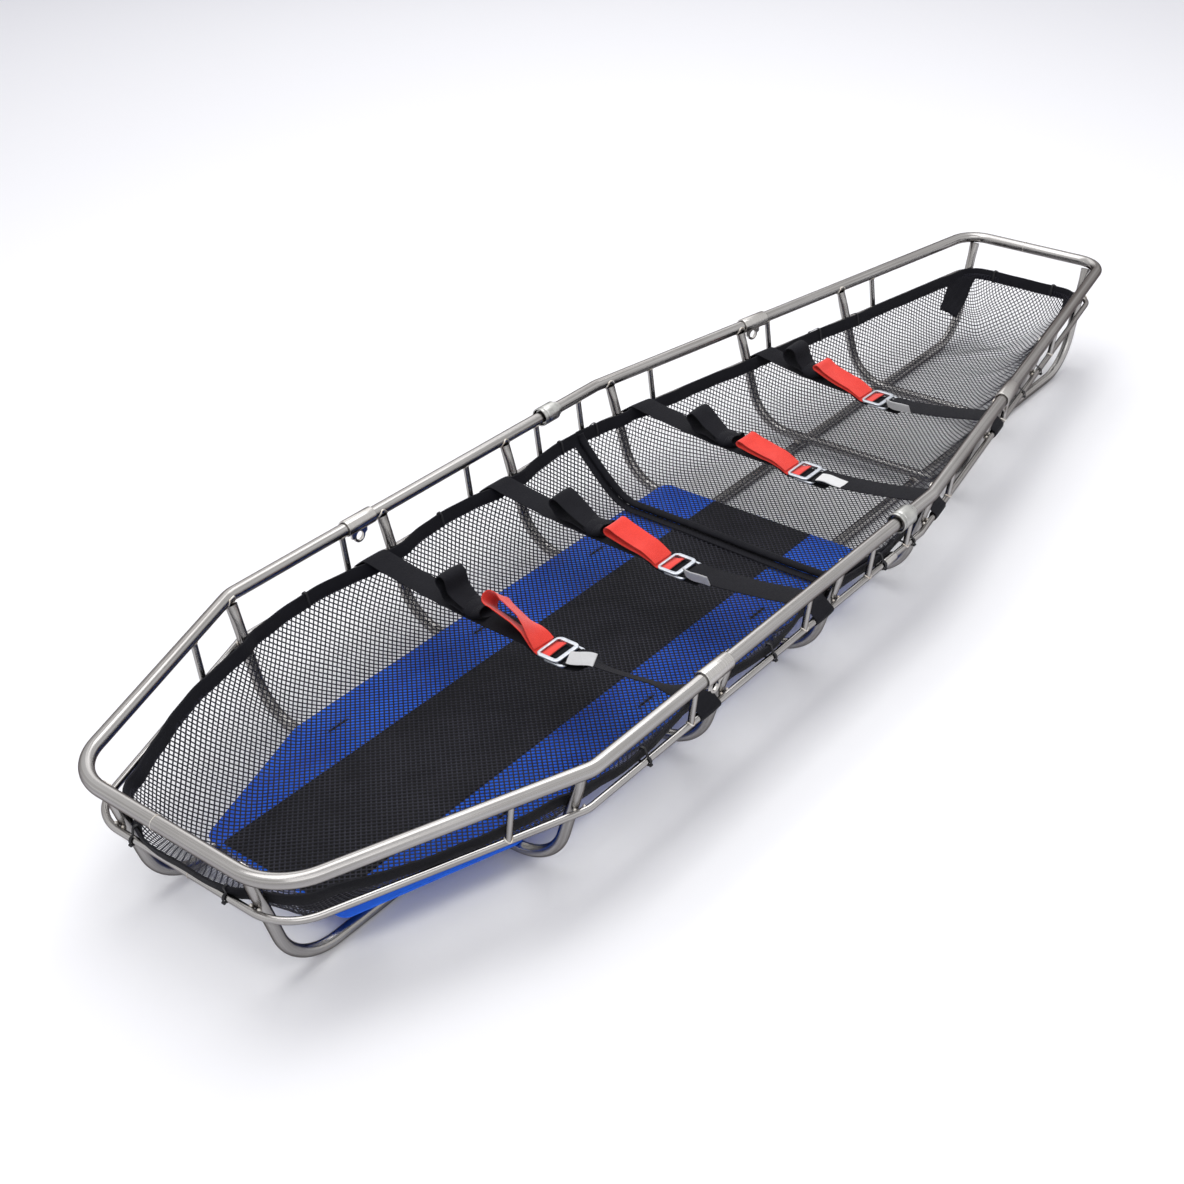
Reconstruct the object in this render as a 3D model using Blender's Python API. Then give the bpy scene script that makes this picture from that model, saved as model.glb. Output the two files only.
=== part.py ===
"""Two-piece basket stretcher: tube frame, net bed, floor panel and four patient straps.

Metres. +X runs from head to foot, +Y is the patient's left, +Z is up and the runners stand on
z = 0. Every tube is a planar sweep; what seats on a tube takes its place from that tube.
"""

import math

import bmesh
import bpy
from mathutils import Vector

# Overall size
LENGTH = 2.134
HEIGHT = 0.2038

# Tube diameters
RAIL_D = 0.01905
TUBE_D = 0.0159
WIRE_D = 0.0095
PICKET_D = 0.0090

# Clearance between neighbouring solids
GAP = 0.0003

# Top rail outline, on its centre line
RAIL_HALF_WIDTH = 0.3086
HEAD_CORNER_Y = 0.168
FOOT_CORNER_Y = 0.137
HEAD_BEND_X = -0.694
FOOT_BEND_X = 0.0965
HEAD_CORNER_R = 0.080
FOOT_CORNER_R = 0.050
BEND_R = 0.050
LEAST_BEND_R = 0.002

# Lower rail and the uprights between the rails
LOWER_RAIL_DROP = 0.0658
LOWER_RAIL_INSET = 0.0100
PICKET_TOP_INSET = 0.0030
PICKETS_HEAD = (-0.7910, -0.4873, -0.2250, -0.0593)
PICKETS_FOOT = (0.0475, 0.2138, 0.4936, 0.7706)

# Cross ribs and the runners below them
RIBS_HEAD = (-0.7005, -0.4097, -0.1385)
RIBS_FOOT = (0.1213, 0.4234, 0.6814)
RIB_LEAN = math.radians(16.5)
RIB_BEND_R = 0.080
RUNNER_Y = 0.115
RUNNER_BEND_R = 0.085
HEAD_POST_LEAN = math.radians(15.0)
FOOT_POST_LEAN = math.radians(17.0)
RUNNER_SPLIT = 0.0060

# Break between the two halves
SEAM_LEFT = -0.020
SEAM_RIGHT = 0.020
SPIGOT_D = 0.0120
SPIGOT_LENGTH = 0.072
BOSS_D = 0.0224
BOSS_LENGTH = 0.022
FLANGE_LENGTH = 0.0045
NUT_D = 0.0300
NUT_LENGTH = 0.042
NUT_HEAD_REACH = 0.026
NUT_MOUTH_D = 0.0260
NUT_MOUTH_DEPTH = 0.010
NUT_NECK_D = 0.0236
NUT_NECK_LENGTH = 0.005
SLEEVE_D = 0.0140
SLEEVE_LENGTH = 0.028

# Bridle collars
COLLARS = (-0.4515, 0.4605)
COLLAR_D = 0.0248
COLLAR_LENGTH = 0.054
LUG_WIDTH = 0.031
LUG_THICKNESS = 0.0050
LUG_HOLE_D = 0.0140
LUG_HOLE_DROP = 0.0220
LUG_RIM = 0.0036

# Net, its binding and the floor panel
BINDING_TOP_DROP = 0.0500
BINDING_HEIGHT = 0.0190
BINDING_THICKNESS = 0.0040
BINDING_GAP = 0.0005
FABRIC_CORNER_EASE = 0.016
NET_SPLIT_X = 0.024
NET_EDGE_DROP = 0.0640
NET_THICKNESS = 0.0024
NET_WALL_RUN = 0.055
NET_WALL_PITCH = 0.080
NET_WALL_GAPS = 1
NET_GAPS_ALONG = 10
NET_GAPS_ACROSS = 6
NET_STRAND_SHARE = 0.36
NET_BORDER = 0.016
PANEL_HEAD_CLEARANCE = 0.1325
PANEL_FOOT_X = 0.132
PANEL_HALF_WIDTH = 0.1945
PANEL_HEAD_HALF_WIDTH = 0.126
PANEL_THICKNESS = 0.0035
PANEL_CORNER_R = 0.025
STRIP_HALF_WIDTH = 0.091
STRIP_THICKNESS = 0.0008
SLOT_LENGTH = 0.034
SLOT_WIDTH = 0.0050
SLOT_Y = 0.158
SLOT_RIB_CLEARANCE = 0.004

# Patient straps, one value a strap from head to foot
STRAPS = (-0.4500, -0.1790, 0.1680, 0.4600)
BUCKLE_BAR_Y = (-0.038, -0.038, -0.036, 0.003)
LOOP_Y = (0.135, 0.150, 0.148, 0.150)
KNOT_Y = (0.083, 0.086, 0.090, 0.112)
WEB_WIDTH = 0.0428
WEB_THICKNESS = 0.0016
STRAP_SAG = 0.0215
STRAP_NEAR_SAG = 0.0030
TAIL_NEAR = 0.004
TAIL_FAR = 0.022
RUN_START = 0.030
LOOP_HEIGHT = 0.036
LOOP_WIDTH = 0.030
LOOP_CROWN_R = 0.012
LOOP_LEG_LEAN = 0.004
KNOT_LENGTH = 0.034
KNOT_THICKNESS = 0.013
TAB_LENGTH = 0.100
TAB_RISE = 0.011
TAB_FOLD_D = 0.0075
TAB_START = 0.010
TAB_CLEAR = 0.002
FRAME_WIDTH = 0.0535
FRAME_BAR_SPAN = 0.0332
FRAME_BAR = 0.0046
FRAME_THICKNESS = 0.0032
RING_FAR_OFFSET = 0.012
RING_NEAR_OFFSET = 0.0445
FRAME_CORNER_R = 0.0026

# Faceting
RAIL_SIDES = 16
TUBE_SIDES = 12
WIRE_SIDES = 10
TURNED_SIDES = 20
ARC_STEP = math.radians(15.0)
TIGHT_ARC_STEP = math.radians(30.0)
BUCKLE_ARC_STEP = math.radians(45.0)
SEAT_ROUNDS = 40

# Values that follow from the sizes above
RAIL_R = RAIL_D / 2
TUBE_R = TUBE_D / 2
WIRE_R = WIRE_D / 2
RAIL_Z = HEIGHT - RAIL_R
END_X = LENGTH / 2 - RAIL_R
LOWER_Z = RAIL_Z - LOWER_RAIL_DROP
UPRIGHT_TOP_Z = RAIL_Z - RAIL_R - GAP
RUNNER_R = TUBE_R / math.cos(math.pi / TUBE_SIDES)
RUNNER_Z = TUBE_R
RIB_Z = RUNNER_Z + TUBE_R + GAP + TUBE_R
PANEL_Z = RIB_Z + TUBE_R + GAP
STRIP_Z = PANEL_Z + PANEL_THICKNESS + GAP
NET_FLOOR_Z = STRIP_Z + STRIP_THICKNESS + GAP + NET_THICKNESS / 2
NET_EDGE_Z = RAIL_Z - NET_EDGE_DROP
BINDING_TOP_Z = RAIL_Z - BINDING_TOP_DROP
BINDING_INSET = (LOWER_RAIL_INSET + (WIRE_R + GAP + 2 * RUNNER_R) / math.cos(RIB_LEAN)
                 + BINDING_GAP + BINDING_THICKNESS / 2)
LEFT = 1
RIGHT = -1
SIDE_NAMES = {LEFT: "left", RIGHT: "right"}


# Scene and materials

def clear_scene():
    for item in list(bpy.data.objects):
        bpy.data.objects.remove(item, do_unlink=True)


def material(name, colour, metallic, roughness):
    made = bpy.data.materials.new(name)
    made.use_nodes = True
    shader = made.node_tree.nodes["Principled BSDF"]
    shader.inputs["Base Color"].default_value = (*colour, 1.0)
    shader.inputs["Metallic"].default_value = metallic
    shader.inputs["Roughness"].default_value = roughness
    made.diffuse_color = (*colour, 1.0)
    return made


def steel(name):
    return material(name, (0.72, 0.70, 0.68), 1.0, 0.30)


def nut_metal(name):
    return material(name, (0.62, 0.62, 0.60), 0.9, 0.45)


def black_fabric(name):
    return material(name, (0.018, 0.018, 0.021), 0.0, 0.85)


def blue_fabric(name):
    return material(name, (0.021, 0.090, 0.500), 0.0, 0.60)


def red_webbing(name):
    return material(name, (0.860, 0.042, 0.032), 0.0, 0.70)


def buckle_metal(name):
    return material(name, (0.66, 0.68, 0.72), 1.0, 0.35)


# Planar outlines

def offset_corners(points, inset):
    """Corners of an open outline moved to its left by inset."""
    moved = []
    for i, point in enumerate(points):
        direction, stretch = mitre(points, i, False, None)
        moved.append((point[0] + direction[0] * stretch * inset,
                      point[1] + direction[1] * stretch * inset))
    return moved


def unit(vector):
    size = math.hypot(vector[0], vector[1])
    return vector[0] / size, vector[1] / size


def mitre(path, i, closed, cut):
    """In-plane direction of the section at point i, to the left of travel, and its stretch."""
    last = len(path) - 1
    here = path[i]
    normals = []
    if i > 0 or closed:
        before = path[i - 1]
        step = unit((here[0] - before[0], here[1] - before[1]))
        normals.append((-step[1], step[0]))
    if i < last or closed:
        after = path[(i + 1) % len(path)]
        step = unit((after[0] - here[0], after[1] - here[1]))
        normals.append((-step[1], step[0]))
    if cut is not None:
        lean = cut[0] * normals[0][0] + cut[1] * normals[0][1]
        sign = 1 if lean > 0 else -1
        return (cut[0] * sign, cut[1] * sign), 1 / abs(lean)
    direction = unit((sum(n[0] for n in normals), sum(n[1] for n in normals)))
    stretch = 1 / (direction[0] * normals[0][0] + direction[1] * normals[0][1])
    return direction, stretch


def rounded(points, radii, step=ARC_STEP, closed=False):
    """The outline with an arc in place of each inner corner."""
    result = []
    last = len(points) - 1
    for i, here in enumerate(points):
        if not closed and i in (0, last):
            result.append(here)
            continue
        radius = radii[i]
        before = points[i - 1]
        after = points[(i + 1) % len(points)]
        arrive = unit((here[0] - before[0], here[1] - before[1]))
        leave = unit((after[0] - here[0], after[1] - here[1]))
        turn = math.atan2(arrive[0] * leave[1] - arrive[1] * leave[0],
                          arrive[0] * leave[0] + arrive[1] * leave[1])
        reach = radius * math.tan(abs(turn) / 2)
        start = (here[0] - arrive[0] * reach, here[1] - arrive[1] * reach)
        side = 1 if turn > 0 else -1
        centre = (start[0] - arrive[1] * radius * side, start[1] + arrive[0] * radius * side)
        count = max(1, math.ceil(abs(turn) / step))
        for k in range(count + 1):
            angle = turn * k / count
            spoke = (start[0] - centre[0], start[1] - centre[1])
            result.append((centre[0] + spoke[0] * math.cos(angle) - spoke[1] * math.sin(angle),
                           centre[1] + spoke[0] * math.sin(angle) + spoke[1] * math.cos(angle)))
    return result


def half_outline(half, inset, left_x, right_x):
    """U-shaped outline of one half, inset from the top rail's centre line.

    The head half runs from the left break round the head to the right one, and the foot half
    from the right break round the foot to the left one, so its inside is always on the left.
    """
    corners = offset_corners(outline_corners(half, left_x, right_x), inset)
    corner_radius = HEAD_CORNER_R if half == "head" else FOOT_CORNER_R
    ease = FABRIC_CORNER_EASE if inset > LOWER_RAIL_INSET else 0
    bend = max(BEND_R - inset, LEAST_BEND_R)
    corner = max(corner_radius - inset + ease, LEAST_BEND_R)
    return rounded(corners, (0, bend, corner, corner, bend, 0))


def outline_corners(half, left_x, right_x):
    """Corners of the top rail's centre line, from one break to the other."""
    if half == "head":
        return [(left_x, RAIL_HALF_WIDTH), (HEAD_BEND_X, RAIL_HALF_WIDTH),
                (-END_X, HEAD_CORNER_Y), (-END_X, -HEAD_CORNER_Y),
                (HEAD_BEND_X, -RAIL_HALF_WIDTH), (right_x, -RAIL_HALF_WIDTH)]
    return [(right_x, -RAIL_HALF_WIDTH), (FOOT_BEND_X, -RAIL_HALF_WIDTH),
            (END_X, -FOOT_CORNER_Y), (END_X, FOOT_CORNER_Y),
            (FOOT_BEND_X, RAIL_HALF_WIDTH), (left_x, RAIL_HALF_WIDTH)]


def left_side(half, inset):
    """The outline's left (+Y) side with x rising, as far as the middle of the end."""
    middle = SEAM_LEFT if half == "head" else SEAM_RIGHT
    points = [p for p in half_outline(half, inset, middle, middle) if p[1] > 0]
    return sorted(points)


def side_y(half, inset, x):
    """Half-width of the inset outline at x."""
    points = left_side(half, inset)
    for (x0, y0), (x1, y1) in zip(points, points[1:]):
        if x0 <= x <= x1 and x1 - x0 > 1e-9:
            return y0 + (y1 - y0) * (x - x0) / (x1 - x0)
    return RAIL_HALF_WIDTH - inset


def side_slope(half, x):
    """How fast the half-width changes along x."""
    step = 0.001
    return (side_y(half, 0, x + step) - side_y(half, 0, x - step)) / (2 * step)


def half_of(x):
    return "head" if x < 0 else "foot"


def seat_inboard(points, station, lean, radius):
    """Outward place, at the lower rail's height, of a leaning tube that rests inside that rail.

    points holds the rail as (along, outward) pairs, and station is where the tube stands. The
    place moves out from the middle until only the clearance is left.
    """
    clearance = (WIRE_R + GAP + radius) / math.cos(lean)
    seat = 0
    for _ in range(SEAT_ROUNDS):
        near = min(distance_to((station, seat), a, b) for a, b in zip(points, points[1:]))
        seat += near - clearance
    return seat


def distance_to(point, a, b):
    """Distance from a point to the segment from a to b."""
    along = (b[0] - a[0], b[1] - a[1])
    size = along[0] ** 2 + along[1] ** 2
    share = ((point[0] - a[0]) * along[0] + (point[1] - a[1]) * along[1]) / max(size, 1e-12)
    share = min(1, max(0, share))
    return math.hypot(point[0] - a[0] - along[0] * share, point[1] - a[1] - along[1] * share)


# Solids

def to_world(plane, offset, a, b, h):
    """Point a, b of a plane, h off it, in world axes. offset is the plane's own place."""
    if plane == "XY":
        return Vector((a, b, offset + h))
    if plane == "YZ":
        return Vector((offset + h, a, b))
    return Vector((a, offset + h, b))


def round_section(radius, sides):
    """Ring of (in-plane, off-plane) points with a facet square to each in-plane side."""
    turns = [(k + 0.5) * 2 * math.pi / sides for k in range(sides)]
    return [(radius * math.cos(t), radius * math.sin(t)) for t in turns]


def flat_section(thickness, width):
    t = thickness / 2
    w = width / 2
    return [(-t, -w), (t, -w), (t, w), (-t, w)]


def chamfered_section(thickness, width, chamfer):
    t = thickness / 2
    w = width / 2
    return [(-t, -w + chamfer), (-t + chamfer, -w), (t - chamfer, -w), (t, -w + chamfer),
            (t, w - chamfer), (t - chamfer, w), (-t + chamfer, w), (-t, w - chamfer)]


def bridge(bm, first, second):
    count = len(first)
    for k in range(count):
        nxt = (k + 1) % count
        bm.faces.new((first[k], first[nxt], second[nxt], second[k]))


def blind_bore(bm, ring, inward, radius, depth):
    """Close the end of a tube with a round blind hole."""
    centre = sum((v.co for v in ring), Vector()) / len(ring)
    mouth = [bm.verts.new(centre + (v.co - centre).normalized() * radius) for v in ring]
    floor = [bm.verts.new(v.co + inward * depth) for v in mouth]
    bridge(bm, ring, mouth)
    bridge(bm, mouth, floor)
    bm.faces.new(floor)


def sweep(bm, path, section, plane, offset, closed=False, cut=None, scales=None, shears=None,
          bore=None):
    """Sweep a section along a planar path with mitred corners and closed ends.

    cut is the in-plane direction of both end faces. scales widens or thickens the section at
    each point. shears slides the off-plane points along the plane's first axis.
    """
    rings = []
    last = len(path) - 1
    for i, (a, b) in enumerate(path):
        at_end = i in (0, last) and not closed
        direction, stretch = mitre(path, i, closed, cut if at_end else None)
        thick, wide = scales[i] if scales else (1, 1)
        shear = shears[i] if shears else 0
        ring = []
        for n, h in section:
            reach = n * thick * stretch
            across = h * wide
            ring.append(bm.verts.new(to_world(plane, offset,
                                              a + direction[0] * reach + shear * across,
                                              b + direction[1] * reach, across)))
        rings.append(ring)
    for first, second in zip(rings, rings[1:]):
        bridge(bm, first, second)
    if closed:
        bridge(bm, rings[-1], rings[0])
        return
    for ring, neighbour in ((rings[0], rings[1]), (rings[-1], rings[-2])):
        if bore:
            inward = (neighbour[0].co - ring[0].co).normalized()
            blind_bore(bm, ring, inward, bore[0], bore[1])
        else:
            bm.faces.new(ring)


def turned(bm, profile, sides):
    """Ring turned about the X axis from a closed (along, radius) profile."""
    columns = []
    for along, radius in profile:
        turns = [(k + 0.5) * 2 * math.pi / sides for k in range(sides)]
        columns.append([bm.verts.new((along, radius * math.cos(t), radius * math.sin(t)))
                        for t in turns])
    for first, second in zip(columns, columns[1:] + columns[:1]):
        bridge(bm, first, second)


def plate(bm, outline, low, high):
    """Flat plate with the given outline in X and Y."""
    bottom = [bm.verts.new((x, y, low)) for x, y in outline]
    top = [bm.verts.new((x, y, high)) for x, y in outline]
    bridge(bm, bottom, top)
    bm.faces.new(bottom)
    bm.faces.new(top)


def box(bm, low, high):
    outline = [(low[0], low[1]), (high[0], low[1]), (high[0], high[1]), (low[0], high[1])]
    plate(bm, outline, low[2], high[2])


def add_object(bm, name, look, location=(0, 0, 0), turn=0.0):
    """Make the node from a finished mesh whose coordinates are relative to location."""
    bmesh.ops.recalc_face_normals(bm, faces=bm.faces)
    mesh = bpy.data.meshes.new(name)
    bm.to_mesh(mesh)
    bm.free()
    for face in mesh.polygons:
        face.use_smooth = True
    mesh.set_sharp_from_angle(angle=math.radians(40))
    made = bpy.data.objects.new(name, mesh)
    bpy.context.scene.collection.objects.link(made)
    made.location = location
    made.rotation_euler = (0, 0, turn)
    if look is not None:
        mesh.materials.append(look)
    return made


def add_cutter(bm, name, location=(0, 0, 0), turn=0.0):
    cutter = add_object(bm, name, None, location, turn)
    cutter.hide_render = True
    cutter.display_type = "WIRE"
    return cutter


def combine(target, cutter, operation):
    change = target.modifiers.new(cutter.name, "BOOLEAN")
    change.operation = operation
    change.solver = "EXACT"
    change.object = cutter


def bore_radius(radius, sides=TURNED_SIDES):
    """Corner radius of a faceted hole that clears a round of this radius all round."""
    return (radius + GAP) / math.cos(math.pi / sides)


# Frame

def top_rail(half):
    seam_gap = GAP / 2 if half == "foot" else -GAP / 2
    path = half_outline(half, 0, SEAM_LEFT + seam_gap, SEAM_RIGHT + seam_gap)
    bm = bmesh.new()
    hole = (bore_radius(SPIGOT_D / 2, RAIL_SIDES), SPIGOT_LENGTH / 2 + GAP)
    sweep(bm, path, round_section(RAIL_R, RAIL_SIDES), "XY", RAIL_Z, bore=hole)
    name = "top_rail_" + half
    return add_object(bm, name, steel(name))


def picket_line(half, side, x):
    low = side_y(half, LOWER_RAIL_INSET, x) * side
    high = (side_y(half, 0, x) - PICKET_TOP_INSET) * side
    return [(low, LOWER_Z), (high, UPRIGHT_TOP_Z)]


def lower_rail(half):
    seam = GAP / 2 if half == "foot" else -GAP / 2
    path = half_outline(half, LOWER_RAIL_INSET, seam, seam)
    bm = bmesh.new()
    sweep(bm, path, round_section(WIRE_R, WIRE_SIDES), "XY", LOWER_Z)
    name = "lower_rail_" + half
    rail = add_object(bm, name, steel(name))
    stations = PICKETS_HEAD if half == "head" else PICKETS_FOOT
    pickets = bmesh.new()
    for x in stations:
        for side in (LEFT, RIGHT):
            sweep(pickets, picket_line(half, side, x), round_section(PICKET_D / 2, WIRE_SIDES),
                  "YZ", x, cut=(1, 0))
    combine(rail, add_cutter(pickets, "pickets_" + half), "UNION")
    return rail


def rib(number, x):
    points = left_side(half_of(x), LOWER_RAIL_INSET)
    seat = seat_inboard(points, x, RIB_LEAN, TUBE_R)
    top = seat + (UPRIGHT_TOP_Z - LOWER_Z) * math.tan(RIB_LEAN)
    foot = seat - (LOWER_Z - RIB_Z) * math.tan(RIB_LEAN)
    corners = [(-top, UPRIGHT_TOP_Z), (-foot, RIB_Z), (foot, RIB_Z), (top, UPRIGHT_TOP_Z)]
    path = rounded(corners, (0, RIB_BEND_R, RIB_BEND_R, 0))
    bm = bmesh.new()
    sweep(bm, path, round_section(TUBE_R, TUBE_SIDES), "YZ", x, cut=(1, 0))
    name = "rib_%d" % number
    return add_object(bm, name, steel(name))


def runner(half, side):
    """Floor runner of one half, turned up at its end into the corner post."""
    lean = HEAD_POST_LEAN if half == "head" else FOOT_POST_LEAN
    way = -1 if half == "head" else 1
    rail = half_outline(half, LOWER_RAIL_INSET, 0, 0)
    points = [(y, x * way) for x, y in rail]
    seat = seat_inboard(points, RUNNER_Y, lean, RUNNER_R)
    top = seat + (UPRIGHT_TOP_Z - LOWER_Z) * math.tan(lean)
    foot = seat - (LOWER_Z - RUNNER_Z) * math.tan(lean)
    corners = [(way * RUNNER_SPLIT / 2, RUNNER_Z), (way * foot, RUNNER_Z),
               (way * top, UPRIGHT_TOP_Z)]
    path = rounded(corners, (0, RUNNER_BEND_R, 0))
    bm = bmesh.new()
    section = round_section(RUNNER_R, TUBE_SIDES)
    sweep_runner(bm, path, section, side * RUNNER_Y)
    name = "runner_%s_%s" % (SIDE_NAMES[side], half)
    return add_object(bm, name, steel(name))


def sweep_runner(bm, path, section, y):
    """Sweep with a square cut at the break and a level cut under the top rail."""
    rings = []
    last = len(path) - 1
    for i, (a, b) in enumerate(path):
        direction, stretch = mitre(path, i, False, (1, 0) if i == last else None)
        rings.append([bm.verts.new((a + direction[0] * n * stretch, y + h,
                                    b + direction[1] * n * stretch)) for n, h in section])
    for first, second in zip(rings, rings[1:]):
        bridge(bm, first, second)
    bm.faces.new(rings[0])
    bm.faces.new(rings[-1])


# Break

def coupling(side):
    seam = SEAM_LEFT if side == LEFT else SEAM_RIGHT
    name = SIDE_NAMES[side]
    centre = (seam, side * RAIL_HALF_WIDTH, RAIL_Z)
    hole = bore_radius(RAIL_R)

    bm = bmesh.new()
    path = [(-SPIGOT_LENGTH / 2, 0), (SPIGOT_LENGTH / 2, 0)]
    sweep(bm, path, round_section(SPIGOT_D / 2, RAIL_SIDES), "XY", 0)
    add_object(bm, "coupling_spigot_" + name, steel("coupling_spigot_" + name), centre)

    bm = bmesh.new()
    start = -BOSS_LENGTH
    turned(bm, [(start, hole), (start, BOSS_D / 2), (-GAP / 2, BOSS_D / 2), (-GAP / 2, hole)],
           TURNED_SIDES)
    add_object(bm, "coupling_boss_" + name, nut_metal("coupling_boss_" + name), centre)

    bm = bmesh.new()
    turned(bm, [(GAP / 2, hole), (GAP / 2, BOSS_D / 2), (FLANGE_LENGTH, BOSS_D / 2),
                (FLANGE_LENGTH, hole)], TURNED_SIDES)
    add_object(bm, "coupling_flange_" + name, nut_metal("coupling_flange_" + name), centre)

    start = -NUT_HEAD_REACH
    end = start + NUT_LENGTH
    mouth = NUT_MOUTH_D / 2
    thread = bore_radius(BOSS_D / 2)
    chamfer = (NUT_D - NUT_MOUTH_D) / 4
    shoulder = end - NUT_NECK_LENGTH
    neck = NUT_NECK_D / 2
    profile = [(start, mouth), (start, NUT_D / 2 - chamfer), (start + chamfer, NUT_D / 2),
               (shoulder - (NUT_D - NUT_NECK_D) / 2, NUT_D / 2), (shoulder, neck), (end, neck),
               (end, hole), (FLANGE_LENGTH + GAP, hole), (FLANGE_LENGTH + GAP, thread),
               (start + NUT_MOUTH_DEPTH, thread), (start + NUT_MOUTH_DEPTH, mouth)]
    bm = bmesh.new()
    turned(bm, profile, TURNED_SIDES)
    add_object(bm, "coupling_nut_" + name, nut_metal("coupling_nut_" + name), centre)

    bm = bmesh.new()
    hole = bore_radius(WIRE_R, RAIL_SIDES)
    half = SLEEVE_LENGTH / 2
    turned(bm, [(-half, hole), (-half, SLEEVE_D / 2), (half, SLEEVE_D / 2), (half, hole)],
           RAIL_SIDES)
    centre = (0, side * (RAIL_HALF_WIDTH - LOWER_RAIL_INSET), LOWER_Z)
    add_object(bm, "lower_rail_sleeve_" + name, steel("lower_rail_sleeve_" + name), centre)


# Bridle collars

def collar(number, side, x):
    """Collar free to turn on the top rail, with a holed lug hanging below it."""
    name = "bridle_collar_%s_%d" % (SIDE_NAMES[side], number)
    half = half_of(x)
    centre = (x, side * side_y(half, 0, x), RAIL_Z)
    turn = math.atan(side_slope(half, x)) * side
    hole = bore_radius(RAIL_R)
    reach = COLLAR_LENGTH / 2
    edge = (COLLAR_D / 2 - hole) / 3
    bm = bmesh.new()
    turned(bm, [(-reach, hole), (-reach, COLLAR_D / 2 - edge), (-reach + edge, COLLAR_D / 2),
                (reach - edge, COLLAR_D / 2), (reach, COLLAR_D / 2 - edge), (reach, hole)],
           TURNED_SIDES)
    made = add_object(bm, name, steel(name), centre, turn)

    lug = bmesh.new()
    lug_plate(lug, (hole + COLLAR_D / 2) / 2 + GAP)
    combine(made, add_cutter(lug, name + "_lug", centre, turn), "UNION")
    return made


def lug_plate(bm, top_drop):
    """Lug outline hung from the collar's wall, round at its foot, with a round hole."""
    hole_r = LUG_HOLE_D / 2
    rim_r = hole_r + LUG_RIM
    steps = 12
    outer = [(-LUG_WIDTH / 2, -top_drop)]
    inner = []
    for k in range(steps + 1):
        angle = math.pi + math.pi * k / steps
        outer.append((rim_r * math.cos(angle), -LUG_HOLE_DROP + rim_r * math.sin(angle)))
    outer.append((LUG_WIDTH / 2, -top_drop))
    count = len(outer)
    for k in range(count):
        angle = math.atan2(outer[k][1] + LUG_HOLE_DROP, outer[k][0])
        inner.append((hole_r * math.cos(angle), -LUG_HOLE_DROP + hole_r * math.sin(angle)))
    middle = (0, -LUG_HOLE_DROP + hole_r)
    outer.append((0, -top_drop))
    inner.append(middle)
    rings = {}
    for name, points in (("outer", outer), ("inner", inner)):
        for y in (-LUG_THICKNESS / 2, LUG_THICKNESS / 2):
            rings[name, y > 0] = [bm.verts.new((px, y, pz)) for px, pz in points]
    bridge(bm, rings["outer", False], rings["outer", True])
    bridge(bm, rings["inner", False], rings["inner", True])
    bridge(bm, rings["outer", False], rings["inner", False])
    bridge(bm, rings["outer", True], rings["inner", True])


# Net bed

def net_split(half):
    """Where the net and its binding end at the break between the halves."""
    return NET_SPLIT_X - GAP / 2 if half == "head" else NET_SPLIT_X + GAP / 2


def binding(half):
    """Bound edge of the net, a flat band that leans with the ribs just inside them."""
    top = BINDING_TOP_Z - LOWER_Z
    low = top - BINDING_HEIGHT
    lean = math.tan(RIB_LEAN)
    t = BINDING_THICKNESS / 2
    section = [(-t - top * lean, top), (t - top * lean, top), (t - low * lean, low),
               (-t - low * lean, low)]
    split = net_split(half)
    bm = bmesh.new()
    sweep(bm, half_outline(half, BINDING_INSET, split, split), section, "XY", LOWER_Z)
    name = "net_binding_" + half
    return add_object(bm, name, black_fabric(name))


def grid_lines(start, end, gaps, border):
    """Edges of strands and gaps in turn, with a border at both ends."""
    pitch = (end - start - 2 * border) / (gaps + NET_STRAND_SHARE * (gaps - 1))
    lines = [start]
    place = start + border
    for _ in range(gaps):
        lines += [place, place + pitch]
        place += pitch * (1 + NET_STRAND_SHARE)
    lines.append(end)
    return lines


def net_inset():
    """Inset of the net's outer edge, just inside the binding's inner face."""
    lean = math.tan(RIB_LEAN)
    lowest = NET_EDGE_Z - NET_THICKNESS / 2
    clear = (BINDING_THICKNESS + NET_THICKNESS) / 2 + GAP
    return BINDING_INSET + clear + (LOWER_Z - lowest) * lean


def floor_inset():
    """Inset of the net's level part, clear of the foot of its sloping part."""
    return net_inset() + NET_WALL_RUN + NET_THICKNESS / 2 + LEAST_BEND_R / 2


def lattice(bm, points, is_gap):
    """Slab between two layers of points[i][j], each a (low, high) pair, with square gaps."""
    layers = [[[bm.verts.new(p) for p in pair] for pair in row] for row in points]
    rows = len(points) - 1
    columns = len(points[0]) - 1

    def is_open(i, j):
        return not (0 <= i < rows and 0 <= j < columns) or is_gap(i, j)

    for i in range(rows):
        for j in range(columns):
            if is_open(i, j):
                continue
            for layer in (0, 1):
                bm.faces.new([layers[i][j][layer], layers[i + 1][j][layer],
                              layers[i + 1][j + 1][layer], layers[i][j + 1][layer]])
            edges = (((i, j), (i + 1, j), (i, j - 1)), ((i, j + 1), (i + 1, j + 1), (i, j + 1)),
                     ((i, j), (i, j + 1), (i - 1, j)), ((i + 1, j), (i + 1, j + 1), (i + 1, j)))
            for (ia, ja), (ib, jb), beyond in edges:
                if is_open(*beyond):
                    bm.faces.new([layers[ia][ja][0], layers[ib][jb][0],
                                  layers[ib][jb][1], layers[ia][ja][1]])


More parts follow.
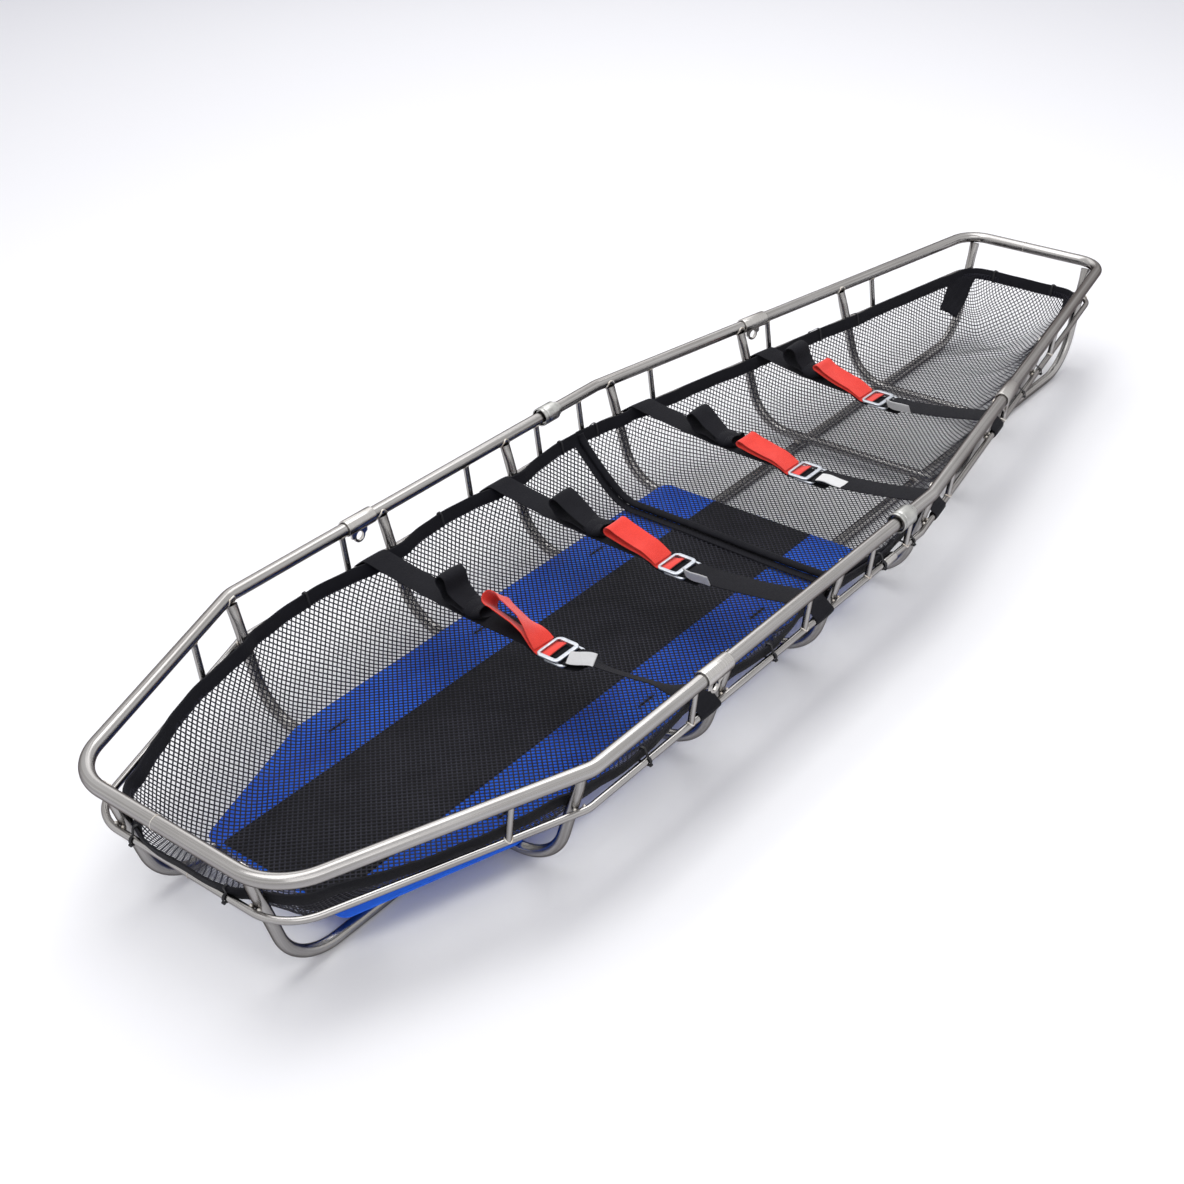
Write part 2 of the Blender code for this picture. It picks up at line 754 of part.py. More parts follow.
def net_floor(half):
    """Level part of the net, over the floor panel and the ribs."""
    inset = floor_inset()
    end_x = (-END_X + inset) if half == "head" else (END_X - inset)
    split = net_split(half)
    lines_x = grid_lines(min(end_x, split), max(end_x, split), NET_GAPS_ALONG, NET_BORDER)
    lines_v = grid_lines(-1, 1, NET_GAPS_ACROSS, NET_BORDER / RAIL_HALF_WIDTH)
    points = []
    for x in lines_x:
        width = floor_half_width(half, inset, x)
        points.append([((x, v * width, NET_FLOOR_Z - NET_THICKNESS / 2),
                        (x, v * width, NET_FLOOR_Z + NET_THICKNESS / 2)) for v in lines_v])
    bm = bmesh.new()
    lattice(bm, points, lambda i, j: i % 2 == 1 and j % 2 == 1)
    name = "net_floor_" + half
    return add_object(bm, name, black_fabric(name))


def floor_half_width(half, inset, x):
    """Half-width of the net's level part, straight as far as its end."""
    corners = offset_corners(outline_corners(half, SEAM_LEFT, SEAM_RIGHT), inset)
    side = sorted(p for p in corners if p[1] > 0)
    for (x0, y0), (x1, y1) in zip(side, side[1:]):
        if x0 <= x <= x1:
            return y0 + (y1 - y0) * (x - x0) / (x1 - x0)
    return side[0][1] if x < side[0][0] else side[-1][1]


def net_wall(half):
    """Sloping part of the net, from inside the binding down to the level part."""
    split = net_split(half)
    edge = net_inset()
    top = half_outline(half, edge, split, split)
    foot = half_outline(half, edge + NET_WALL_RUN, split, split)
    fall = NET_EDGE_Z - NET_FLOOR_Z
    size = math.hypot(NET_WALL_RUN, fall)
    shift = (NET_THICKNESS / 2 * NET_WALL_RUN / size, NET_THICKNESS / 2 * fall / size)
    bm = bmesh.new()
    points = []
    gaps = set()
    for k in range(len(top) - 1):
        length = math.dist(foot[k], foot[k + 1])
        count = round(length / NET_WALL_PITCH)
        shares = [0.0]
        if count > 0:
            shares = grid_lines(0, 1, count, NET_BORDER / length)[:-1]
            gaps.update(len(points) + 1 + 2 * n for n in range(count))
        for share in shares:
            points.append(wall_row(top, foot, k, share, shift))
    points.append(wall_row(top, foot, len(top) - 2, 1.0, shift))
    lattice(bm, points, lambda i, j: i in gaps and j % 2 == 1)
    name = "net_wall_" + half
    return add_object(bm, name, black_fabric(name))


def wall_row(top, foot, k, share, shift):
    """Points down the wall at a share of the way along the outline's side k."""
    high = [a + (b - a) * share for a, b in zip(top[k], top[k + 1])]
    low = [a + (b - a) * share for a, b in zip(foot[k], foot[k + 1])]
    inward = unit((low[0] - high[0], low[1] - high[1]))
    row = []
    for place in grid_lines(0, 1, NET_WALL_GAPS, NET_BORDER / NET_WALL_RUN / 2):
        x, y = (high[0] + (low[0] - high[0]) * place, high[1] + (low[1] - high[1]) * place)
        z = NET_EDGE_Z + (NET_FLOOR_Z - NET_EDGE_Z) * place
        row.append(((x - inward[0] * shift[1], y - inward[1] * shift[1], z - shift[0]),
                    (x + inward[0] * shift[1], y + inward[1] * shift[1], z + shift[0])))
    return row


# Floor panel

def panel_outline(half_width, head_half_width, corner):
    head_x = -END_X + PANEL_HEAD_CLEARANCE
    shoulder_x = HEAD_BEND_X + BEND_R / 2
    points = [(PANEL_FOOT_X, -half_width), (PANEL_FOOT_X, half_width), (shoulder_x, half_width),
              (head_x, head_half_width), (head_x, -head_half_width), (shoulder_x, -half_width)]
    return rounded(points, (corner,) * 6, TIGHT_ARC_STEP, closed=True)


def floor_panel():
    bm = bmesh.new()
    outline = panel_outline(PANEL_HALF_WIDTH, PANEL_HEAD_HALF_WIDTH, PANEL_CORNER_R)
    plate(bm, outline, PANEL_Z, PANEL_Z + PANEL_THICKNESS)
    panel = add_object(bm, "floor_panel", blue_fabric("floor_panel"))
    slots = bmesh.new()
    for x in RIBS_HEAD:
        start = x + TUBE_R + SLOT_RIB_CLEARANCE
        for side in (LEFT, RIGHT):
            low = (start, side * SLOT_Y - SLOT_WIDTH / 2, PANEL_Z - PANEL_THICKNESS)
            high = (start + SLOT_LENGTH, side * SLOT_Y + SLOT_WIDTH / 2,
                    PANEL_Z + 2 * PANEL_THICKNESS)
            box(slots, low, high)
    combine(panel, add_cutter(slots, "panel_slots"), "DIFFERENCE")
    return panel


def centre_strip():
    bm = bmesh.new()
    head_x = -END_X + PANEL_HEAD_CLEARANCE
    points = [(PANEL_FOOT_X, -STRIP_HALF_WIDTH), (PANEL_FOOT_X, STRIP_HALF_WIDTH),
              (head_x, STRIP_HALF_WIDTH), (head_x, -STRIP_HALF_WIDTH)]
    outline = rounded(points, (PANEL_CORNER_R / 4,) * 4, TIGHT_ARC_STEP, closed=True)
    plate(bm, outline, STRIP_Z, STRIP_Z + STRIP_THICKNESS)
    return add_object(bm, "panel_centre_strip", black_fabric("panel_centre_strip"))


# Straps

def arc(centre, radius, start, end, step=TIGHT_ARC_STEP):
    """Points of an arc, angles in radians from the first axis."""
    count = max(1, math.ceil(abs(end - start) / step))
    return [(centre[0] + radius * math.cos(start + (end - start) * k / count),
             centre[1] + radius * math.sin(start + (end - start) * k / count))
            for k in range(count + 1)]


def anchor(x):
    """End of a strap over the binding and round the lower rail, as (outward, z) points."""
    half = half_of(x)
    rail_y = side_y(half, LOWER_RAIL_INSET, x)
    slope = side_slope(half, x)
    band_y = side_y(half, BINDING_INSET, x) + (BINDING_TOP_Z - LOWER_Z) * math.tan(RIB_LEAN)
    clear = BINDING_THICKNESS / 2 * math.hypot(1, slope) + WEB_THICKNESS
    crest_z = BINDING_TOP_Z + GAP * 4 + WEB_THICKNESS / 2
    radius = (WIRE_R + GAP) * math.hypot(1, slope) + WEB_THICKNESS / 2
    wrap = arc((rail_y, LOWER_Z), radius, math.radians(65), math.radians(-205))
    return [(band_y - clear, crest_z), (band_y + clear, crest_z)] + wrap


def sag_height(y, crest_y, crest_z):
    """Height of a strap's centre line between its two crests."""
    share = y / crest_y
    return crest_z - STRAP_SAG * (1 - share * share) - STRAP_NEAR_SAG * (share < 0) * -share


def shear_list(x, path):
    """How far each point's section follows the rail's taper, none of it at the buckle."""
    slope = side_slope(half_of(x), x)
    reach = max(abs(a) for a, b in path)
    return [slope * min(1, max(0, (abs(a) / reach - 0.78) / 0.12)) for a, b in path]


def wrap_radius():
    return FRAME_BAR * 0.58 + GAP + WEB_THICKNESS / 2


def web(bm, path, side, x, width=WEB_WIDTH, thickness=WEB_THICKNESS, scales=None):
    """Flat webbing along (outward, z) points on one side of the stretcher."""
    placed = [(a * side, b) for a, b in path]
    shears = [s * side for s in shear_list(x, path)]
    sweep(bm, placed, flat_section(thickness, width), "YZ", x, scales=scales, shears=shears)


def strap(number, x, bar_y, loop_y, knot_y):
    label = "_%d" % number
    ends = anchor(x)
    crest_y, crest_z = ends[0]
    radius = wrap_radius()
    bar_z = sag_height(bar_y, crest_y, crest_z) - radius
    ring_drop = FRAME_THICKNESS + GAP
    near_bar = (bar_y - RING_NEAR_OFFSET, bar_z - ring_drop)

    # Far webbing, from under the frame's bar to the left lower rail
    tail = [(bar_y + TAIL_FAR, bar_z - radius), (bar_y + TAIL_NEAR, bar_z - radius)]
    turn = arc((bar_y, bar_z), radius, math.radians(-90), math.radians(-270))
    run = [(y, sag_height(y, crest_y, crest_z)) for y in spaced(bar_y + RUN_START, crest_y, 5)]
    far_path = tail + turn + run[:-1] + ends
    bm = bmesh.new()
    web(bm, far_path, LEFT, x)
    name = "strap_left" + label
    add_object(bm, name, black_fabric(name))

    # Near webbing, from under the ring's bar to the right lower rail
    reach = -near_bar[0]
    tail = [(reach + TAIL_FAR, near_bar[1] - radius), (reach + TAIL_NEAR, near_bar[1] - radius)]
    turn = arc((reach, near_bar[1]), radius, math.radians(-90), math.radians(-270))
    start_z = near_bar[1] + radius
    run = []
    for y in spaced(reach + RUN_START, crest_y, 5):
        share = (y - reach) / (crest_y - reach)
        run.append((y, start_z + (crest_z - start_z) * share ** 1.6))
    bm = bmesh.new()
    web(bm, tail + turn + run[:-1] + ends, RIGHT, x)
    name = "strap_right" + label
    add_object(bm, name, black_fabric(name))

    # Spare webbing: a standing loop and the knot that gathers it
    layer = WEB_THICKNESS + GAP
    bm = bmesh.new()
    path, scales = loop_path(loop_y, knot_y, lambda y: height_on(far_path, y) + layer)
    sweep(bm, path, flat_section(WEB_THICKNESS, WEB_WIDTH), "YZ", x, scales=scales)
    name = "strap_loop" + label
    add_object(bm, name, black_fabric(name))

    # Pull tab, a folded leaf of webbing on top of the strap
    bm = bmesh.new()
    path = tab_path(bar_y, bar_z, radius + layer, lambda y: height_on(far_path, y) + layer)
    sweep(bm, path, flat_section(WEB_THICKNESS, WEB_WIDTH - 0.002), "YZ", x)
    name = "pull_tab" + label
    add_object(bm, name, red_webbing(name))

    # Buckle: a frame that tilts on the far webbing's bar, lying on the near webbing's ring
    name = "buckle_frame" + label
    buckle_part(name, (x, bar_y, bar_z), 0, -FRAME_BAR_SPAN, 0)
    name = "buckle_ring" + label
    buckle_part(name, (x, bar_y, bar_z), -RING_FAR_OFFSET, -RING_NEAR_OFFSET, -ring_drop)


def height_on(path, y):
    """Greatest height of a path at y."""
    heights = [z0 + (z1 - z0) * (y - y0) / (y1 - y0)
               for (y0, z0), (y1, z1) in zip(path, path[1:])
               if y0 != y1 and min(y0, y1) <= y <= max(y0, y1)]
    return max(heights)


def spaced(start, end, count):
    return [start + (end - start) * k / count for k in range(count + 1)]


def loop_path(loop_y, knot_y, rest_z):
    """Ribbon from the knot up round the standing loop and back down beside itself."""
    half_knot = KNOT_LENGTH / 2
    lift = (KNOT_THICKNESS - WEB_THICKNESS) / 2
    grown = KNOT_THICKNESS / WEB_THICKNESS
    points = []
    scales = []
    for share, size in ((-1, 0), (-0.7, 0.7), (-0.2, 1), (0.3, 0.9), (0.75, 0.45), (1, 0)):
        y = knot_y + half_knot * share
        points.append((y, rest_z(y) + lift * size))
        scales.append((1 + (grown - 1) * size, 1 - 0.25 * size))
    near = loop_y - LOOP_WIDTH / 2
    far = loop_y + LOOP_WIDTH / 2
    top = rest_z(loop_y) + LOOP_HEIGHT
    lean = LOOP_LEG_LEAN
    rise = [(near - lean / 2, rest_z(near) + lean), (near + lean, top - LOOP_CROWN_R - lean)]
    crown = arc((loop_y, top - LOOP_CROWN_R), LOOP_CROWN_R, math.radians(165),
                math.radians(-10))
    fall = [(far - lean / 4, rest_z(far) + 2.5 * lean), (far - lean, rest_z(far) + GAP)]
    for point in rise + crown + fall:
        points.append(point)
        scales.append((1, 1))
    return points, scales


def tab_path(bar_y, bar_z, radius, rest_z):
    """Leaf from the strap up to its fold and back, dipping round the bar into the frame."""
    low_start = bar_y + TAB_START
    tip = bar_y + TAB_LENGTH
    lower = []
    for share in (0, 0.3, 0.65, 1):
        y = low_start + (tip - TAB_FOLD_D / 2 - low_start) * share
        lower.append((y, rest_z(y) + TAB_RISE * share ** 1.5))
    fold_centre = (lower[-1][0], lower[-1][1] + TAB_FOLD_D / 2)
    fold = arc(fold_centre, TAB_FOLD_D / 2, math.radians(-60), math.radians(80))
    upper = []
    for share in (0.75, 0.45, 0.2):
        y = low_start + (tip - low_start) * share
        upper.append((y, rest_z(y) + TAB_RISE * share ** 1.5 + TAB_FOLD_D * 0.9 + TAB_CLEAR))
    turn = arc((bar_y, bar_z), radius, math.radians(75), math.radians(200))
    return lower + fold + upper + turn


def buckle_part(name, bar, far, near, lift):
    """Rectangular metal ring between two cross bars, its origin on the hinge bar's axis."""
    half = (FRAME_WIDTH - FRAME_BAR) / 2
    corners = [(half, near), (half, far), (-half, far), (-half, near)]
    path = rounded(corners, (FRAME_CORNER_R,) * 4, BUCKLE_ARC_STEP, closed=True)
    section = chamfered_section(FRAME_BAR, FRAME_THICKNESS, FRAME_THICKNESS / 4)
    bm = bmesh.new()
    sweep(bm, path, section, "XY", lift, closed=True)
    return add_object(bm, name, buckle_metal(name), bar)


def build():
    clear_scene()
    for half in ("head", "foot"):
        top_rail(half)
        lower_rail(half)
        for side in (LEFT, RIGHT):
            runner(half, side)
        binding(half)
        net_floor(half)
        net_wall(half)
    for number, x in enumerate(RIBS_HEAD + RIBS_FOOT, 1):
        rib(number, x)
    for side in (LEFT, RIGHT):
        coupling(side)
        for number, x in enumerate(COLLARS, 1):
            collar(number, side, x)
    floor_panel()
    centre_strip()
    for number, values in enumerate(zip(STRAPS, BUCKLE_BAR_Y, LOOP_Y, KNOT_Y), 1):
        strap(number, *values)


build()
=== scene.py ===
import functools
import math

import bmesh
import bpy
import numpy as np
from mathutils import Matrix, Vector

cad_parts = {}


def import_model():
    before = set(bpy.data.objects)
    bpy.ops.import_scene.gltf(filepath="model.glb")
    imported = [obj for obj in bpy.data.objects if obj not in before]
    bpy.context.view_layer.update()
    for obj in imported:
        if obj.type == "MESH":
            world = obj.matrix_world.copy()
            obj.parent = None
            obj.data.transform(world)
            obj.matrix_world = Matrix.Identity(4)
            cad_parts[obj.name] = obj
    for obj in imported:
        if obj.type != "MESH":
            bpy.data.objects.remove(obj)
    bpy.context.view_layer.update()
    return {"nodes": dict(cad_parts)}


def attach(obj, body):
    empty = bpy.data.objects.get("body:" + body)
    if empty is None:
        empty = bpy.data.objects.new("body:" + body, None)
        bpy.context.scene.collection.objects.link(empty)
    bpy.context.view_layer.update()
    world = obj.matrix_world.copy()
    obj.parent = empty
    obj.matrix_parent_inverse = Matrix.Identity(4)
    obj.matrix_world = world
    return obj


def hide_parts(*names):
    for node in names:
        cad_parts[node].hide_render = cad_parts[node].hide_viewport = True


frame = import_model()

# Sizes of the frame, as in the CAD source
LENGTH = 2.134
HEIGHT = 0.2038
RAIL_R = 0.009525
TUBE_R = 0.00795
WIRE_R = 0.00475
PICKET_R = 0.0045
RAIL_HALF_WIDTH = 0.3086
HEAD_CORNER_Y = 0.168
FOOT_CORNER_Y = 0.137
HEAD_BEND_X = -0.694
FOOT_BEND_X = 0.0965
CORNER_R = {"head": 0.080, "foot": 0.050}
BEND_R = 0.050
LEAST_BEND_R = 0.004
LOWER_RAIL_DROP = 0.0658
LOWER_RAIL_INSET = 0.0100
PICKET_TOP_INSET = 0.0030
PICKETS = {"head": (-0.7910, -0.4873, -0.2250, -0.0593), "foot": (0.0475, 0.2138, 0.4936, 0.7706)}
RIBS_HEAD = (-0.7005, -0.4097, -0.1385)
RIBS_FOOT = (0.1213, 0.4234, 0.6814)
RIB_LEAN = math.radians(16.5)
RIB_BEND_R = 0.080
RUNNER_Y = 0.115
RUNNER_BEND_R = 0.085
POST_LEAN = {"head": math.radians(15.0), "foot": math.radians(17.0)}
RUNNER_SPLIT = 0.0060
SEAM_LEFT = -0.020
SEAM_RIGHT = 0.020
COLLARS = (-0.4515, 0.4605)
GAP = 0.0003
SETTLING_STEPS = 40

# Net and binding
BINDING_DROP = 0.0500
BINDING_HEIGHT = 0.0190
BINDING_THICKNESS = 0.0040
BINDING_INSET = 0.0346
NET_SPLIT_X = 0.024
NET_SPLIT_GAP = 0.0004
NET_TUCK = 0.009
NET_CLEARANCE = 0.0023
NET_WALL_RUN = 0.100
NET_WALL_BOW = 1.9
NET_PITCH = 0.0065
NET_STRAND = {"head": 0.0018, "foot": 0.0015}
NET_THICKNESS = 0.0005
NET_FLOOR_RISE = 0.012
NET_CORNER_EASE = 0.016
PATCH_THICKNESS = 0.0014

# Floor panel and its centre strip
PANEL_THICKNESS = 0.0035
PANEL_WIDTH = 0.390
PANEL_LEFT_Y = 0.1925
PANEL_FOOT_X = 0.132
PANEL_SHOULDER_X = -0.708
PANEL_HEAD_CLEARANCE = 0.1285
PANEL_HEAD_INSET = 0.075
STRIP_WIDTH = 0.182
STRIP_MARGIN = 0.002
STRIP_HEAD_MARGIN = 0.004
SLIT_Y = 0.149

# Patient straps
STRAPS = (-0.4500, -0.1790, 0.1680, 0.4600)
BUCKLE_BAR_Y = (-0.038, -0.038, -0.036, 0.003)
LOOP_Y = (0.135, 0.150, 0.148, 0.150)
KNOT_Y = (0.083, 0.086, 0.090, 0.112)
WEB_WIDTH = 0.0428
WEB_THICKNESS = 0.0016
STRAP_SAG = 0.0215
STRAP_NEAR_SAG = 0.003
TAB_LENGTH = 0.100
FRAME_WIDTH = 0.0535
FRAME_BAR_SPAN = 0.0332
FRAME_BAR = 0.0046
FRAME_THICKNESS = 0.0032
RING_FAR_OFFSET = 0.012
RING_NEAR_OFFSET = 0.0445

# Heights and places that follow from them
RAIL_Z = HEIGHT - RAIL_R
END_X = LENGTH / 2 - RAIL_R
LOWER_Z = RAIL_Z - LOWER_RAIL_DROP
TUBE_TOP_Z = RAIL_Z - RAIL_R * 0.80
RUNNER_Z = TUBE_R
RIB_Z = 3 * TUBE_R + GAP
PANEL_Z = RIB_Z + TUBE_R + GAP
STRIP_Z = PANEL_Z + PANEL_THICKNESS + GAP
NET_Z = STRIP_Z + NET_CLEARANCE
BINDING_TOP_Z = RAIL_Z - BINDING_DROP

# Fineness of the round pieces, and names
FINE_STEP = math.radians(4.0)
SIDES = 36
SIDE_NAMES = {1: "left", -1: "right"}
BODIES = {"head": "head_half", "foot": "foot_half"}
WAY = {"head": -1, "foot": 1}


# Meshes

class Shape:
    """Vertices, faces and the along and across coordinates of one piece, in metres."""

    def __init__(self):
        self.points = []
        self.faces = []
        self.places = []
        self.cloth = 0.0

    def loft(self, rings, along, across, closed=False):
        """Skin over rings of equal count. across has one value more than a ring has points."""
        start = len(self.points)
        count = len(rings[0])
        for ring in rings:
            self.points.extend(tuple(p) for p in ring)
        last = len(rings) if closed else len(rings) - 1
        for i in range(last):
            here = start + i * count
            there = start + (i + 1) % len(rings) * count
            for k in range(count):
                nxt = (k + 1) % count
                self.faces.append((here + k, here + nxt, there + nxt, there + k))
                self.places.append(((along[i], across[k]), (along[i], across[k + 1]),
                                    (along[i + 1], across[k + 1]), (along[i + 1], across[k])))
        if not closed:
            for i, order in ((0, -1), (len(rings) - 1, 1)):
                ring = range(start + i * count, start + (i + 1) * count)
                self.faces.append(tuple(ring)[::order])
                self.places.append(tuple((along[i], a) for a in across[:count])[::order])

    def make(self, name, look, body, angle=40):
        """Make the piece. Edges sharper than angle, in degrees, stay sharp."""
        mesh = bpy.data.meshes.new(name)
        mesh.from_pydata(self.points, [], self.faces)
        add_run(mesh, self.places)
        return finish_mesh(mesh, name, look, body, angle)


def add_run(mesh, places):
    """Keep the along and across coordinates of each face's corners in the mesh."""
    flat = np.array([place for face in places for place in face], np.float32).ravel()
    mesh.uv_layers.new(name="run").data.foreach_set("uv", flat)


def finish_mesh(mesh, name, look, body, angle):
    """Put the mesh on its body, in place of the CAD node of that name if there is one."""
    mesh.validate()
    mesh.shade_smooth()
    mesh.set_sharp_from_angle(angle=math.radians(angle))
    mesh.materials.append(look)
    made = bpy.data.objects.new(name, mesh)
    bpy.context.scene.collection.objects.link(made)
    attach(made, body)
    if name in frame["nodes"]:
        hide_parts(name)
    return made


def thicken(made, thickness):
    """Give a single layer of cloth its thickness, half of it to each side."""
    solid = made.modifiers.new("thickness", "SOLIDIFY")
    solid.thickness = thickness
    solid.offset = 0


def lengths(path, closed=False):
    """Distance along the path to each of its points."""
    total = [0.0]
    points = list(path) + ([path[0]] if closed else [])
    for a, b in zip(points, points[1:]):
        total.append(total[-1] + (Vector(b) - Vector(a)).length)
    return total


def carried_frames(path, up, closed=False):
    """Tangent and two cross directions at each point of a path, twisted as little as can be."""
    points = [Vector(p) for p in path]
    count = len(points)
    result = []
    side = Vector(up)
    for i in range(count):
        before = points[i - 1] if closed or i > 0 else points[i]
        after = points[(i + 1) % count] if closed or i < count - 1 else points[i]
        tangent = (after - before).normalized()
        side = (side - tangent * side.dot(tangent)).normalized()
        result.append((tangent, side.copy(), tangent.cross(side)))
    return result


def tube(shape, path, radius, up=(0, 0, -1), sides=SIDES, closed=False, ovals=None):
    """Round tube along a path. ovals scales the section along and across the up direction."""
    rings = []
    for i, (tangent, side, other) in enumerate(carried_frames(path, up, closed)):
        a, b = ovals[i] if ovals else (1, 1)
        ring = []
        for k in range(sides):
            turn = 2 * math.pi * k / sides
            ring.append(Vector(path[i]) + side * (math.cos(turn) * radius * a)
                        + other * (math.sin(turn) * radius * b))
        rings.append(ring)
    girth = [2 * math.pi * radius * k / sides for k in range(sides + 1)]
    shape.loft(rings, lengths(path, closed), girth, closed)


def turned(shape, profile, place, sides=48):
    """Ring turned about X from a closed (along, radius) profile. place puts it in the world."""
    rings = []
    for k in range(sides):
        turn = 2 * math.pi * k / sides
        rings.append([place @ Vector((a, r * math.cos(turn), r * math.sin(turn)))
                      for a, r in profile])
    across = lengths([(a, r, 0) for a, r in profile], closed=True)
    along = [0.1 * k / sides for k in range(sides + 1)]
    shape.loft(rings, along, across, closed=True)


def eased(profile, radius):
    """Closed profile with each corner replaced by a small arc."""
    return rounded(profile, [radius] * len(profile), math.radians(30), closed=True)


# Outlines, as in the CAD source but with finer arcs

def unit(vector):
    size = math.hypot(vector[0], vector[1])
    return vector[0] / size, vector[1] / size


def offset_corners(points, inset):
    """The corners of an outline moved inwards by inset."""
    moved = []
    last = len(points) - 1
    for i, here in enumerate(points):
        normals = []
        for a, b in ((i - 1, i), (i, i + 1)):
            if a >= 0 and b <= last:
                step = unit((points[b][0] - points[a][0], points[b][1] - points[a][1]))
                normals.append((-step[1], step[0]))
        way = unit((sum(n[0] for n in normals), sum(n[1] for n in normals)))
        stretch = inset / (way[0] * normals[0][0] + way[1] * normals[0][1])
        moved.append((here[0] + way[0] * stretch, here[1] + way[1] * stretch))
    return moved


def rounded(points, radii, step=FINE_STEP, closed=False):
    """The outline with an arc in place of each inner corner."""
    result = []
    last = len(points) - 1
    for i, here in enumerate(points):
        if not closed and i in (0, last):
            result.append(tuple(here))
            continue
        before = points[i - 1]
        after = points[(i + 1) % len(points)]
        arrive = unit((here[0] - before[0], here[1] - before[1]))
        leave = unit((after[0] - here[0], after[1] - here[1]))
        turn = math.atan2(arrive[0] * leave[1] - arrive[1] * leave[0],
                          arrive[0] * leave[0] + arrive[1] * leave[1])
        room = min(math.dist(here, before), math.dist(here, after)) * 0.49
        reach = min(radii[i] * math.tan(abs(turn) / 2), room)
        radius = reach / max(math.tan(abs(turn) / 2), 1e-6)
        start = (here[0] - arrive[0] * reach, here[1] - arrive[1] * reach)
        side = 1 if turn > 0 else -1
        centre = (start[0] - arrive[1] * radius * side, start[1] + arrive[0] * radius * side)
        count = max(1, math.ceil(abs(turn) / step))
        for k in range(count + 1):
            angle = turn * k / count
            spoke = (start[0] - centre[0], start[1] - centre[1])
            result.append((centre[0] + spoke[0] * math.cos(angle) - spoke[1] * math.sin(angle),
                           centre[1] + spoke[0] * math.sin(angle) + spoke[1] * math.cos(angle)))
    return result


def outline_corners(half, left_x, right_x):
    if half == "head":
        return [(left_x, RAIL_HALF_WIDTH), (HEAD_BEND_X, RAIL_HALF_WIDTH),
                (-END_X, HEAD_CORNER_Y), (-END_X, -HEAD_CORNER_Y),
                (HEAD_BEND_X, -RAIL_HALF_WIDTH), (right_x, -RAIL_HALF_WIDTH)]
    return [(right_x, -RAIL_HALF_WIDTH), (FOOT_BEND_X, -RAIL_HALF_WIDTH),
            (END_X, -FOOT_CORNER_Y), (END_X, FOOT_CORNER_Y),
            (FOOT_BEND_X, RAIL_HALF_WIDTH), (left_x, RAIL_HALF_WIDTH)]


def half_outline(half, inset, left_x, right_x):
    """Outline of one half from one break round its end to the other, inside on the left."""
    corners = offset_corners(outline_corners(half, left_x, right_x), inset)
    ease = NET_CORNER_EASE if inset > LOWER_RAIL_INSET else 0
    bend = max(BEND_R - inset, LEAST_BEND_R)
    corner = max(CORNER_R[half] - inset + ease, LEAST_BEND_R)
    return rounded(corners, (0, bend, corner, corner, bend, 0))


@functools.cache
def left_side(half, inset):
    """The left side of one half's outline, from its lowest x to its highest."""
    middle = SEAM_LEFT if half == "head" else SEAM_RIGHT
    return sorted(p for p in half_outline(half, inset, middle, middle) if p[1] > 0)


def side_y(half, inset, x):
    """Half-width of the inset outline at x."""
    points = left_side(half, inset)
    xs = [p[0] for p in points]
    if not xs[0] <= x <= xs[-1]:
        return RAIL_HALF_WIDTH - inset
    return float(np.interp(x, xs, [p[1] for p in points]))


def side_slope(half, x):
    """How fast the half-width grows with x."""
    step = 0.001
    return (side_y(half, 0, x + step) - side_y(half, 0, x - step)) / (2 * step)


def half_of(x):
    return "head" if x < 0 else "foot"


def distance_to(point, a, b):
    along = (b[0] - a[0], b[1] - a[1])
    size = along[0] ** 2 + along[1] ** 2
    share = ((point[0] - a[0]) * along[0] + (point[1] - a[1]) * along[1]) / max(size, 1e-12)
    share = min(1, max(0, share))
    return math.hypot(point[0] - a[0] - along[0] * share, point[1] - a[1] - along[1] * share)


def seat_inboard(points, station, lean, radius):
    """Outward place, at the lower rail's height, of a leaning tube that rests inside it."""
    clearance = (WIRE_R + GAP + radius) / math.cos(lean)
    seat = 0
    for _ in range(SETTLING_STEPS):
        near = min(distance_to((station, seat), a, b) for a, b in zip(points, points[1:]))
        seat += near - clearance
    return seat


def spaced(start, end, count):
    return [start + (end - start) * k / count for k in range(count + 1)]


def ease_between(value, low, high):
    """Rises smoothly from 0 at low to 1 at high."""
    share = min(1, max(0, (value - low) / (high - low)))
    return share * share * (3 - 2 * share)


def dense(path, step):
    """The path with long straights cut into steps."""
    result = [Vector(path[0])]
    for a, b in zip(path, path[1:]):
        a, b = Vector(a), Vector(b)
        count = max(1, round((b - a).length / step))
        result.extend(a + (b - a) * k / count for k in range(1, count + 1))
    return result


def curve_through(points, step=0.002):
    """Smooth path through points however they are spaced, in steps of about this length."""
    points = [Vector(p) for p in points]
    spans = [max((b - a).length, 1e-6) for a, b in zip(points, points[1:])]
    slopes = [(b - a) / span for a, b, span in zip(points, points[1:], spans)]
    ways = [slopes[0]]
    for i in range(1, len(points) - 1):
        before, after = spans[i - 1], spans[i]
        ways.append((slopes[i - 1] * after + slopes[i] * before) / (before + after))
    ways.append(slopes[-1])
    result = [points[0]]
    for i, span in enumerate(spans):
        count = max(2, round(span / step))
        for k in range(1, count + 1):
            t = k / count
            result.append(points[i] * (1 + 2 * t) * (1 - t) ** 2 + points[i + 1] * t * t * (3 - 2 * t)
                          + ways[i] * (span * t * (1 - t) ** 2)
                          + ways[i + 1] * (span * t * t * (t - 1)))
    return result


# Materials

